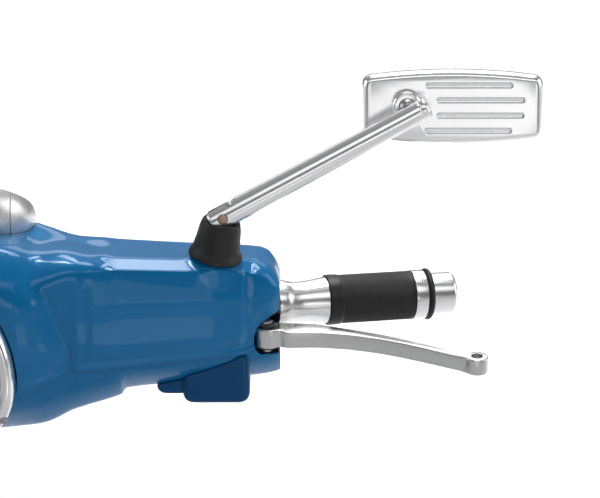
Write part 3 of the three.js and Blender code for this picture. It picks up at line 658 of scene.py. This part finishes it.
def covers():
    front = cover_shell(0, 6, 96)
    rear = cover_shell(6.04, 12.96, 84)
    boss = mirrored(lambda: moved(turned([(-9, 12.6), (-9, 15.8), (-1.4, 15.2), (-1.4, 12.6)], 96,
                                         0.7, True, "Z"), BOOT_PLACE))
    join(front, *boss)
    for shape in (front, rear):
        cut(shape, slab(lamp_outline(1.0), -100, -46, 0, "Y"), hood_solid(GAP, 48, 96, CLUSTER))
        cut(shape, *mirrored(lambda: slab(SLOT + [(268, -33), (268, 9)], -60, 24, 0, "Y")))
    cut(front, *mirrored(lambda: moved(rod(-40, 10, 7, "Z"), BOOT_PLACE)))
    cut(rear, moved(rod(-140, -32, 36, "Z", 96), STEM_AXIS))
    opening = ((84 - GAP, 128 + GAP), (17, 48.5), (-17 - GAP, 19 + GAP))
    cut(rear, *mirrored(lambda: moved(block(*opening, edge=0), BAR_SIDE)))
    place(front, "front_cover_skin", "bars", ["front_cover"], "paint", PAINT, angle=30)
    place(rear, "rear_cover_skin", "bars", ["rear_cover"], "paint", PAINT, angle=30)

# ---------------------------------------------------------------- headlight and instruments


def ring_loft(rings):
    """Closed band through closed rings of equal count; a one-point ring at either end closes it off."""
    verts, index = [], []
    for ring in rings:
        index.append(list(range(len(verts), len(verts) + len(ring))))
        verts += ring
    n = max(len(ring) for ring in rings)
    index = [ring * n if len(ring) == 1 else ring for ring in index]
    pairs = list(zip(index, index[1:]))
    if len(rings[0]) > 1 and len(rings[-1]) > 1:
        pairs.append((index[-1], index[0]))
    faces = []
    for one, two in pairs:
        for k in range(n):
            m = (k + 1) % n
            face = list(dict.fromkeys([one[k], one[m], two[m], two[k]]))
            if len(face) > 2:
                faces.append(face)
    return body_from(verts, faces)


LAMP_Z, BEZEL_BORE = -14, 36.5
SCREW_X, SCREW_Z = 60.5, -60


def lamp_ring(scale, y):
    return [(x, y, z) for x, z in lamp_outline(scale)]


def headlight():
    arc = [(0.905 + 0.084 * math.cos(a), -59.5 - 8.6 * math.sin(a))
           for a in (math.pi * k / 20 for k in range(21))]
    circle = round_outline(0, LAMP_Z, BEZEL_BORE, 160)
    rings = [lamp_ring(0.989, -52)] + [lamp_ring(s, y) for s, y in arc]
    rings += [lamp_ring(0.82, -59), lamp_ring(0.82, -55.4), lamp_ring(0.815, -55)]
    rings += [[(x, y, z) for x, z in circle] for y in (-55, -52)]
    bezel = ring_loft(rings)
    screws = [moved(rod(-69, -58, 2.6, "Y", 24), shift((sx * SCREW_X, 0, SCREW_Z)))
              for sx in (1, -1)]
    cut(bezel, *screws)
    place(bezel, "headlight_bezel_skin", "bars", ["headlight_bezel"], "chrome", CHROME, angle=40)
    for side, sx in SIDES.items():
        head = rod(-66.2, -57.9, 2.3, "Y", 32, 0.5)
        cut(head, block((-3, 3), (-70, -65.4), (-0.35, 0.35), edge=0))
        moved(head, shift((sx * SCREW_X, 0, SCREW_Z)) @ Matrix.Rotation(0.6, 4, "Y"))
        place(head, f"bezel_screw_{side}", "bars", [], "steel", STEEL)

    rings = [[(0, -67, LAMP_Z)]]
    for s in (0.1, 0.25, 0.4, 0.55, 0.68, 0.76, 0.8, 0.811):
        rings.append(lamp_ring(s, -63.4 - 3.6 * (1 - (s / 0.812) ** 2)))
    rings += [lamp_ring(0.812, -62.8), lamp_ring(0.811, -60.6)]
    for s in (0.8, 0.7, 0.6, 0.5, 0.4, 0.3, 0.2, 0.1):
        rings.append([(x, -60.6 - 0.35 * abs(math.sin(x * 0.45)), z) for x, _, z in lamp_ring(s, 0)])
    rings.append([(0, -60.9, LAMP_Z)])
    place(ring_loft(rings), "headlight_lens_skin", "bars", ["headlight_lens"], "clear_glass", GLASS)

    lamp = shift((0, 0, LAMP_Z))
    bowl = [(-51.6, 38), (-46, 35.5), (-38, 30), (-32, 22), (-28, 11), (-28, 6.2), (-31, 6.2), (-34, 19),
            (-40, 27.6), (-46.5, 33.2), (-51.6, 35.8)]
    place(moved(turned(bowl, 128, 3, True, "Y"), lamp), "headlight_reflector_skin", "bars",
          ["headlight_reflector"], "chrome", CHROME)
    bulb = turned([(-48, 0), (-47.6, 2.6), (-45, 4.6), (-36, 4.9), (-22, 4.9), (-22, 0)], 48, 2, axis="Y")
    place(moved(bulb, lamp), "headlight_bulb_skin", "bars", ["headlight_bulb"], "clear_glass", GLASS)


def ellipse_ring(a, b, z, count=160):
    return [(a * math.cos(2 * math.pi * k / count), b * math.sin(2 * math.pi * k / count), z)
            for k in range(count)]


def instruments():
    rings = [ellipse_ring(28, 16, -6), ellipse_ring(66, 38, -6), ellipse_ring(66, 38, 7.6),
             ellipse_ring(66.4, 38.4, 8.6), ellipse_ring(67.2, 39.2, 9), ellipse_ring(74.2, 47, 9)]
    z = 8.4
    while z > -35.2:
        r = math.sqrt(1 - (z / HOOD[2]) ** 2)
        rings.append(ellipse_ring(HOOD[0] * r, HOOD[1] * r, z))
        z -= 1.5
    rings.append(ellipse_ring(28, 16, -35.4))
    housing = ring_loft(rings)
    groove = []
    for sx in (1, -1):
        strip = block((sx * 62 - 0.35, sx * 62 + 0.35), (-60, 60), (-40, 12), edge=0)
        groove.append(cut(strip, hood_solid(-0.9, 32, 64)))
    cut(housing, *groove)
    place(moved(housing, CLUSTER), "cluster_housing_skin", "bars", ["cluster_housing"], "chrome", SATIN,
          angle=40)

    oval = [(x, y) for x, y, _ in ellipse_ring(*DIAL_HALF, 0)]
    face = slab(oval, -5.6, -3.6, 0.3)
    cut(face, rod(-20, 20, 1.6, "Z"))
    place(moved(face, CLUSTER), "cluster_dial_skin", "bars", ["cluster_dial"], "dial_face", DIAL)
    width, depth = DIAL_HALF
    glass = ring_loft([[(0, 0, 8.3)]] + [ellipse_ring(width * s, depth * s, 8.3 - 1.2 * s**4)
                                         for s in (0.2, 0.4, 0.6, 0.8, 0.9, 0.96, 1)]
                      + [ellipse_ring(width * s, depth * s, 6) for s in (1, 0.5)] + [[(0, 0, 6)]])
    place(moved(glass, CLUSTER), "cluster_glass_skin", "bars", ["cluster_glass"], "clear_glass", GLASS)

    marks = []
    for k in range(25):
        turn = math.radians(60 - 10 * k)
        long = 5 if k % 2 == 0 else 3
        half = 0.45 if k % 2 == 0 else 0.25
        mark = block((34 - long, 34), (-half, half), (-3.75, -3.3), edge=0)
        marks.append(moved(mark, Matrix.Rotation(turn, 4, "Z")))
    ring = turned([(-3.7, 34.6), (-3.3, 34.6), (-3.3, 35.1), (-3.7, 35.1)], 96, closed=True, axis="Z")
    marks.append(ring)
    for k in range(7):
        turn = math.radians(60 - 40 * k)
        text = bpy.data.curves.new("number", "FONT")
        text.body, text.size, text.align_x, text.align_y = str(20 * k), 5.4, "CENTER", "CENTER"
        text.extrude, text.resolution_u = 0.16, 3
        holder = linked("number", text)
        mesh = bpy.data.meshes.new_from_object(
            holder.evaluated_get(bpy.context.evaluated_depsgraph_get()))
        bpy.data.objects.remove(holder)
        number = linked("number", mesh)
        spot = shift((NUMBERS_R * math.cos(turn), NUMBERS_R * math.sin(turn), -3.5))
        marks.append(moved(number, spot @ Matrix.Rotation(math.pi, 4, "Z")))
    place(moved(gathered(marks), CLUSTER), "dial_marks", "bars", [], "black_plastic", DIAL_INK)
    for name, x, tint in (("turn", 50, (0.02, 0.45, 0.06)), ("beam", -50, (0.02, 0.1, 0.6))):
        lamp = turned([(-4, 0), (-4, 4.2), (-3, 4.2), (-2.4, 3.4), (-2.1, 1.6), (-2, 0)], 48, 0.4, axis="Z")
        colour = finish(f"{name}_telltale", tint, dark=0.8, rough=(0.15, 0.25), blotch=200, coat=0.6)
        place(moved(lamp, CLUSTER @ shift((x, 0, 0))), f"{name}_telltale", "bars", [],
              "clear_glass", colour)
    hub = turned([(-3.1, 0), (-3.1, 3.4), (1.2, 3.2), (2, 0)], 48, 0.6, axis="Z")
    shaft = rod(-9, -2, 1.2, "Z", 24)
    blade = slab([(-0.9, -7), (0.9, -7), (0.35, 27), (-0.35, 27)], -0.6, 0.5, 0.12)
    hand = join(hub, shaft, blade)
    moved(hand, CLUSTER @ turned_by(-30, "Z"))
    place(hand, "speed_needle_skin", "needle", ["speed_needle"], "red_plastic", RED_PLASTIC)


def gathered(parts):
    """Several loose shapes as one object."""
    work = bmesh.new()
    for part in parts:
        work.from_mesh(part.data)
        bpy.data.objects.remove(part)
    mesh = bpy.data.meshes.new("gathered")
    work.to_mesh(mesh)
    work.free()
    return linked("gathered", mesh)

# ---------------------------------------------------------------- grips

GRIP_START, RING_END = 143, 255
RUBBER_START, RUBBER_END, RUBBER_R = 181, 245.5, 17.9
KNURLS, KNURL_STEPS, KNURL_DEPTH = 48, 6, 0.75


def grip_sleeve():
    outside = [(GRIP_START, 16.8), (149, 16.6), (154, 15), (159.6, 14.4), (169, 15.2),
               (RUBBER_START - GAP, 17)]
    smoothed = rounded(outside, 6, 8)
    step = [(RUBBER_START - GAP, 14), (RUBBER_END + GAP, 14), (RUBBER_END + GAP, 18.2), (RING_END, 18.2)]
    shape = turned(rounded([*smoothed, *step, (RING_END, 11.3), (GRIP_START, 11.3)], 0.5, 3, True),
                   128, closed=True)
    scallops = []
    for turn in (-0.62, 2.52):
        scoop = rod(-40, 40, 46, "Y", 160)
        moved(scoop, Matrix.Rotation(turn, 4, "X") @ shift((163, 0, 0))
              @ Matrix.Rotation(math.pi / 2, 4, "X") @ shift((0, 59.6, 0))
              @ Matrix.Rotation(math.pi / 2, 4, "X"))
        scallops.append(scoop)
    cut(shape, *scallops)
    return shape


def grip_rubber():
    """Band with a plain lip and a diamond knurl."""
    around = KNURLS * KNURL_STEPS
    pitch = 2 * math.pi * RUBBER_R / KNURLS
    low, high = RUBBER_START + 10, RUBBER_END - 1.6
    plain = rounded([(RUBBER_START, 14.3), (RUBBER_START, 18.4), (RUBBER_START + 9, 18.4),
                     (RUBBER_START + 9.7, RUBBER_R - 0.35), (low, RUBBER_R - 0.35)], 0.5, 3)
    steps = round((high - low) / pitch * KNURL_STEPS)
    tail = rounded([(high, RUBBER_R - 0.35), (high + 0.5, RUBBER_R), (RUBBER_END, RUBBER_R),
                    (RUBBER_END, 14.3)], 0.35, 2)
    lines = [(s, r, False) for s, r in plain]
    lines += [(low + (high - low) * k / steps, RUBBER_R, True) for k in range(1, steps)]
    lines += [(s, r, False) for s, r in tail]
    rings = []
    for s, r, knurled in lines:
        ring = []
        for k in range(around):
            radius = r
            if knurled:
                a, b = k / KNURL_STEPS, (s - low) / pitch
                fade = min(1, (s - low) / 1.5, (high - s) / 1.5)
                valley = min(abs((a + b + 0.5) % 1 - 0.5), abs((a - b + 0.5) % 1 - 0.5))
                radius -= (KNURL_DEPTH * (1 - min(1, valley * 2.2))) * fade + 0.35 * (1 - fade)
            angle = 2 * math.pi * k / around
            ring.append((s, radius * math.cos(angle), radius * math.sin(angle)))
        rings.append(ring)
    return ring_loft(rings)


def bar_end():
    start, radius = 255.4, 15.3
    profile = [(start - 18, 0), (start - 18, 8.2), (start, 8.2), (start, 14.4), (start + 5, 14.4),
               (start + 5, radius)]
    dome = [(start + 20.6, radius), (start + 22.4, radius - 1.4), (start + 23.6, radius * 0.72),
            (start + 24.3, radius * 0.36), (start + 24.5, 0)]
    line = rounded(profile, 0.4, 3)[:-1] + rounded([profile[-2], profile[-1], *dome], 1.6, 6)[1:]
    return turned(line, 128)


def ring_of(at, major, minor, around=128, across=24):
    return turned([(at + minor * math.cos(2 * math.pi * k / across),
                    major + minor * math.sin(2 * math.pi * k / across)) for k in range(across)], around,
                  closed=True)


def grips():
    sleeve, rubber = moved(grip_sleeve(), BAR_SIDE), moved(grip_rubber(), BAR_SIDE)
    for shape, name, slot_name, material, angle in (
            (sleeve, "grip_sleeve", "polished_aluminium", POLISHED, 30),
            (rubber, "grip_rubber", "grip_rubber", KNURLED_RUBBER, 60)):
        right = duplicate(shape)
        place(shape, f"{name}_left_skin", "bars", [f"{name}_left"], slot_name, material, 1, angle)
        place(right, f"{name}_right_skin", "throttle", [f"{name}_right"], slot_name, material, -1, angle)
    place_both(moved(bar_end(), BAR_SIDE), "bar_end_cap", "bars", "polished_aluminium", POLISHED)
    place_both(moved(ring_of(257.9, 16.9, 2.1), BAR_SIDE), "bar_end_seal", "bars", "black_rubber",
               BLACK_RUBBER)


# ---------------------------------------------------------------- brake levers

LEVER_PLACE = shift((242.5, 11, -17.6)) @ turned_by(11, "X")
LEVER_PLAN = [(0, 0, 8.6), (14, -1, 8.4), (24, -1, 8.2), (38, -2, 7.3), (50, -5.2, 6), (62, -8.6, 5.1),
              (85, -17.2, 4.6), (110, -30, 4.3), (130, -41.5, 4.1), (143, -48, 4.6)]
LEVER_TIP, LEVER_TIP_R, LEVER_HOLE_R = (148, -48), 8.1, 4.2
LEVER_HEIGHTS = ((-20, 14.4), (4.5, 14.4), (14, 12.8), (60, 12.1), (134, 11.1), (141, 12), (170, 12))


def even_outline(points, step=0.8, blur=3):
    """Closed outline at even steps, its corners softened."""
    points = np.array([*points, points[0]], float)
    lengths = np.concatenate([[0], np.cumsum(np.hypot(*np.diff(points, axis=0).T))])
    at = np.linspace(0, lengths[-1], round(lengths[-1] / step), endpoint=False)
    even = np.stack([np.interp(at, lengths, points[:, i]) for i in (0, 1)], 1)
    total = sum(np.roll(even, k, 0) for k in range(-blur, blur + 1))
    return [tuple(p) for p in total / (2 * blur + 1)]


def through(points, value):
    """Smooth curve through plan points, at x."""
    xs = [p[0] for p in points]
    i = min(len(points) - 2, max(0, bisect.bisect_right(xs, value) - 1))
    a, b = np.array(points[i], float), np.array(points[i + 1], float)
    before = np.array(points[i - 1], float) if i else a - (b - a)
    after = np.array(points[i + 2], float) if i + 2 < len(points) else b + (b - a)
    span = b[0] - a[0]
    return hermite(a, (b - before) / (b[0] - before[0]) * span, b, (after - a) / (after[0] - a[0]) * span,
                   (value - a[0]) / span)[1:]


def lever_shape():
    xs = np.arange(1, 142, 1.5)
    middles = [through(LEVER_PLAN, x) for x in xs]
    front = [(x, y - half) for x, (y, half) in zip(xs, middles)]
    back = [(x, y + half) for x, (y, half) in zip(xs, middles)]
    notch = {5.5: 0.6, 7: 2.1, 8.5: 3.0, 10: 2.6, 11.5: 1.7, 13: 0.8}
    front = [(x, y + notch.get(float(x), 0)) for x, y in front]
    root = [(8.6 * math.cos(a), 8.6 * math.sin(a)) for a in np.linspace(math.pi / 2, math.pi * 1.5, 24)]
    tip = [(LEVER_TIP[0] + LEVER_TIP_R * math.cos(a), LEVER_TIP[1] + LEVER_TIP_R * math.sin(a))
           for a in np.linspace(-2.5, 2.35, 36)]
    outline = even_outline([*root, *front, *tip, *back[::-1]])
    shape = slab(outline, -7.2, 7.2, 1.0)
    heights = list(zip(*LEVER_HEIGHTS))
    for vertex in shape.data.vertices:
        vertex.co.z *= float(np.interp(vertex.co.x, *heights)) / 14.4
    cam = rod(-4, 4, 4.5, "Z", 48, 0.5)
    moved(cam, shift((-4.4, 10.6, 0)))
    join(shape, cam, block((-4, 5), (0, 10), (-3.9, 3.9), edge=0.4))
    holes = [moved(turned([(-20, 0), (-20, r), (20, r), (20, 0)], 64, axis="Z"),
                   shift((x, y, 0))) for x, y, r in ((*LEVER_TIP, LEVER_HOLE_R), (0, 0, 3.7))]
    return cut(shape, *holes)


# ---------------------------------------------------------------- mirrors

ARM_PIN = Vector((212, 0, 71))
ARM_RISE = math.radians(28.6)
ARM_PLACE = shift(ARM_PIN) @ Matrix.Rotation(-ARM_RISE, 4, "Y")
BALL = Vector((342, 12.6, 148))
PLATE_CENTRE, PLATE_HALF_WIDTH, PLATE_HALF_END, PLATE_HALF_MIDDLE = (374.7, 145.8), 64.3, 23.2, 26.6
GROOVES = ((354.9, 418, 161.7), (362.8, 426.6, 151.1), (362.9, 426.1, 140.1), (354.5, 417.5, 129.2))


def boot():
    outside = [(-1, 17.6), (0, 19.4), (2.5, 19.2), (6, 17.2), (14, 15.8), (23, 14.8), (28, 13.2)]
    inside = [(28, 10), (22, 11.4), (4, 13.6), (-1, 15.6)]
    shape = moved(turned(rounded(outside + inside, 2.4, 6, True), 128, closed=True, axis="Z"), BOOT_PLACE)
    spaces = [moved(rod(-10.4, 60, 9.3, "X", 96, 2), ARM_PLACE @ turned_by(fold, "Y"))
              for fold in (-10, -6, -2, 2, 6, 10)]
    return cut(shape, *spaces)


def mirror_arm():
    tail, length, root, tip = 10, 165, 8.9, 7.3
    taper = [(1.4 - tail, root), (length - 6.2, tip + 0.05)]
    end = [(length - 5.8, tip - 0.4), (length - 5, tip - 0.4), (length - 4.6, tip + 0.05),
           (length - 1.6, tip), (length, tip - 1.8), (length, 0)]
    shape = turned(rounded([(-tail, 0), (-tail, root - 2), *taper, *end], 1.0, 5), 128)
    slot_space = slab(rectangle(-30, 14, -20, 20, 3), -3.95, 3.95, 0, "Y")
    hole = rod(-20, 20, 3.7, "Y", 64)
    screw = moved(rod(5.2, 20, 1.9, "Z", 32), shift((8.5, 0, 0))
                  @ turned_by(38, "X"))
    return moved(cut(shape, slot_space, hole, screw), ARM_PLACE)


def plate_outline(inset):
    """Mirror outline: bowed long edges and rounded corners."""
    cx, cz = PLATE_CENTRE
    w, e = PLATE_HALF_WIDTH, PLATE_HALF_END
    bow = PLATE_HALF_MIDDLE - e
    corner = 9
    points = []
    for sx, sz in ((1, 1), (-1, 1), (-1, -1), (1, -1)):
        start, end = Vector((sx * w, sz * (e - corner))), Vector((sx * (w - corner), sz * e))
        middle = Vector((sx * w, sz * e))
        arc = [quadratic(start, middle, end, k / 12) for k in range(13)]
        points += arc if sx * sz > 0 else arc[::-1]
        if sx * sz > 0:
            reach = w - corner
            points += [Vector((sx * reach * (1 - 2 * t), sz * (e + bow * (1 - (1 - 2 * t) ** 2))))
                       for t in (k / 24 for k in range(1, 24))]
    outline = [(cx + p.x, cz + p.y) for p in points]
    return [tuple(p) for p in inset_outline(outline, inset)] if inset else outline


def mirror_housing():
    back, depth = 21, 11
    layers = [(4.4, back), (3.7, back + 0.12), (2.6, back + 0.75), (1.2, back + 2.2), (0.35, back + 3.6),
              (0, back + 5.2), (0, back + depth - 0.7), (0.25, back + depth - 0.2), (0.8, back + depth),
              (3.0, back + depth), (3.4, back + depth - 0.4), (3.4, back + depth - 3.4)]
    rings = [[(x, y, z) for x, z in plate_outline(inset)] for inset, y in layers]
    verts = [v for ring in rings for v in ring]
    shell = capped(verts, len(rings), len(rings[0]))
    socket = turned([(BALL.y - 1.5, 0), (BALL.y - 1.5, 8.9), (BALL.y - 0.1, 10.4), (back + 1, 10.4),
                     (back + 1, 0)], 96, 0.7, axis="Y")
    join(shell, moved(socket, shift((BALL.x, 0, BALL.z))))
    cup = sphere(6.3, 32, 64, "Y")
    mouth = turned([(-10, 0), (-10, 7.4), (-1.4, 6.1), (0, 5.6), (0, 0)], 64, axis="Y")
    grooves = []
    for x0, x1, z in GROOVES:
        groove = turned([(x0, 0), (x0, 0.9), (x0 + 0.8, 2.1), (x0 + 2, 2.7), (x1 - 2, 2.7), (x1 - 0.8, 2.1),
                         (x1, 0.9), (x1, 0)], 64)
        grooves.append(moved(groove, shift((0, back - 1.3, z))))
    return cut(shell, moved(cup, shift(BALL)), moved(mouth, shift(BALL)), *grooves)


def mirrors():
    place_both(boot(), "mirror_boot", "mirror_mast_{}", "black_rubber", BLACK_RUBBER, angle=50)
    pin = moved(rod(-8.6, 8.6, 3.4, "Y", 64, 0.7), shift(ARM_PIN))
    place_both(pin, "mirror_pin", "mirror_mast_{}", "bronze_pin", BRONZE)
    place_both(mirror_arm(), "mirror_arm", "mirror_arm_{}", "chrome", POLISHED, angle=28)
    ball = turned([(-12, 0), (-12, 3), (-5.2, 3)] + [(-6 * math.cos(a), 6 * math.sin(a)) for a in
                  np.linspace(math.pi / 6, math.pi, 28)], 64, axis="Y")
    moved(ball, shift(BALL))
    cut(ball, moved(rod(0, 170, 8.5, "X", 64), ARM_PLACE))
    place_both(ball, "mirror_ball", "mirror_arm_{}", "steel", STEEL)
    place_both(mirror_housing(), "mirror_housing", "mirror_head_{}", "polished_aluminium", POLISHED,
               angle=22)
    glass = slab(plate_outline(3.8), 29, 31.4, 0.4, "Y")
    place_both(glass, "mirror_glass", "mirror_head_{}", "mirror_glass", MIRROR)

# ---------------------------------------------------------------- block under the arm, switches


def casing_solid(grow):
    """The casing's plain outline, grown, as one closed body."""
    xs = [x for i, x in enumerate(cover_xs()) if i % 2 == 0 or abs(x) > 120]
    n = 104
    verts = [casing_point(x, CORNERS * k / n, -grow, plain=True) for x in xs for k in range(n)]
    return capped(verts, len(xs), n)


HOLLOW_RADIUS = 30
POCKET_DEPTH, CASE_FRONT, CASE_BACK = 28.6, 23, 38.5
BUTTON_ROOT = 32


def pump_cover():
    main = slab(rectangle(182, 230.5, -67, -28, 9, 10), 4, 48, 5, "Y", 6)
    lobe = slab(rectangle(163, 188, -61, -40, 8, 10), 8, 40, 4, "Y", 6)
    return cut(join(main, lobe), casing_solid(3 * GAP))


def raised_button(outline, low, high, dish):
    """Push button: rounded rim and a slightly hollow top."""
    xs, zs = zip(*outline)
    middle = ((min(xs) + max(xs)) / 2, high + HOLLOW_RADIUS - dish, (min(zs) + max(zs)) / 2)
    hollow = moved(sphere(HOLLOW_RADIUS, 48, 96, "Y"), shift(middle))
    return cut(slab(outline, low, high, 0.9, "Y", 4), hollow)


def round_outline(x, z, radius, count=64):
    return [(x + radius * math.cos(2 * math.pi * k / count), z + radius * math.sin(2 * math.pi * k / count))
            for k in range(count)]


def switches():
    pockets = {
        "left": [round_outline(106, -9, 6),
                 rectangle(96.6, 115.4, -0.9, 5.9, 2.5), rectangle(96.7, 115.3, 7.2, 17.8, 2.5)],
        "right": [round_outline(106, -8, 6),
                  rectangle(96.7, 115.3, 3.2, 14.8, 2.5)],
    }
    for side, sign in SIDES.items():
        case = slab(rectangle(84, 128, -17, 19, 1.2, 8), CASE_FRONT, CASE_BACK, 0, "Y")
        holes = [slab(outline, POCKET_DEPTH, 46, 0, "Y") for outline in pockets[side]]
        shape = moved(cut(case, *holes), BAR_SIDE)
        place(shape, f"switch_block_{side}_skin", "bars", [f"switch_block_{side}"], "black_plastic",
              BLACK_PLASTIC, sign, 30, 0.5)
    buttons = (
        ("horn_button", "horn", 1, round_outline(106, -9, 5.6), 42.5, BLACK_PLASTIC, 0.5),
        ("turn_signal_slider", "turn_signal", 1, rectangle(101, 111, -0.5, 5.5, 2.5), 43, BLACK_PLASTIC,
         0.4),
        ("beam_rocker", "beam", 1, rectangle(98, 114, 8.5, 16.5, 2.5), 41, BLACK_PLASTIC, 0.7),
        ("start_button", "start", -1, round_outline(106, -8, 5.6), 42.5, BLACK_PLASTIC, 0.5),
        ("stop_rocker", "stop", -1, rectangle(98, 114, 4.5, 13.5, 2.5), 41, RED_PLASTIC, 0.7),
    )
    for name, body, sign, outline, top, material, dish in buttons:
        shape = moved(raised_button(outline, BUTTON_ROOT, top, dish), BAR_SIDE)
        slot_name = "red_plastic" if material is RED_PLASTIC else "black_plastic"
        place(shape, f"{name}_skin", body, [name], slot_name, material, sign, 40)


# ---------------------------------------------------------------- steering, and CAD nodes kept as they are


def steering():
    raked = HEAD.inverted() @ Matrix.Rotation(-RAKE, 4, "X")
    tube = [(0, 0), (0, 29), (8, 29), (12, 25), (84, 25), (84, 19), (5.5, 19), (5.5, 0)]
    place(moved(turned(tube, 128, 0.8, axis="Z"), raked), "head_tube_skin", "steering_head", ["head_tube"],
          "paint", PAINT)
    cup = [(84.35, 19), (84.35, 25), (91, 25), (91, 19)]
    place(moved(turned(cup, 128, 0.8, True, "Z"), raked), "bearing_cup_skin", "steering_head",
          ["bearing_cup"], "steel", STEEL)
    cone = [(91.35, 13.35), (91.35, 23), (97, 19), (97, 13.35)]
    place(moved(turned(cone, 128, 0.6, True, "Z"), raked), "bearing_cone_skin", "bars", ["bearing_cone"],
          "steel", STEEL)
    hexagon = [(20 * math.cos(math.pi * k / 3), 20 * math.sin(math.pi * k / 3)) for k in range(6)]
    nut = slab(hexagon, 97.35, 106.35, 0, "Z")
    crown = turned([(97.35, 0), (97.35, 19), (98.2, 20.1), (105.5, 20.1), (106.35, 19), (106.35, 0)], 96,
                   axis="Z")
    combined(nut, "INTERSECT", [crown])
    cut(nut, rod(0, 140, 13.35, "Z", 96))
    place(moved(nut, raked), "bearing_lock_nut_skin", "bars", ["bearing_lock_nut"], "steel", STEEL,
          angle=20)
    stem = [(6, 9), (6, 13), (221, 13), (221, 9)]
    place(moved(turned(stem, 96, 0.7, True, "Z"), raked), "steering_stem_skin", "bars", ["steering_stem"],
          "steel", STEEL)


KEPT = {
    "handlebar": (STEEL, 0.6),
    "pinch_bolt": (DARK_STEEL, 0.4),
    "end_plate": (BLACK_PLASTIC, 0.4),
    "brake_pump": (CASTING, 0.7),
    "pump_piston": (STEEL, 0.5),
    "lever_pivot_bolt": (STEEL, 0.4),
    "mirror_stem": (STEEL, 0.4),
}


def keep_cad_nodes():
    """CAD nodes whose shape is right get their finish and softened edges."""
    for node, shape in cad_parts.items():
        name = node.removesuffix("_left").removesuffix("_right")
        if name not in KEPT:
            continue
        material, width = KEPT[name]
        shape.data.materials.clear()
        shape.data.materials.append(material)
        shape.data.polygons.foreach_set("use_smooth", [True] * len(shape.data.polygons))
        weld = shape.modifiers.new("Weld", "WELD")
        weld.merge_threshold = 0.00001
        edges = shape.modifiers.new("Edges", "BEVEL")
        edges.width, edges.segments, edges.limit_method = width * MM, 2, "ANGLE"
        edges.angle_limit = math.radians(40)


# ---------------------------------------------------------------- everything together

camera()
studio()
floor()
covers()
headlight()
instruments()
grips()
place_both(moved(lever_shape(), LEVER_PLACE), "brake_lever", "brake_lever_{}", "lever_aluminium", BRUSHED,
           angle=40)
mirrors()
# The pump cover takes the darker copy of the blue paint, which is painted shade.
place_both(pump_cover(), "pump_cover", "bars", "paint", PAINT_WITH_PAINTED_SHADE, angle=40)
switches()
steering()
keep_cad_nodes()
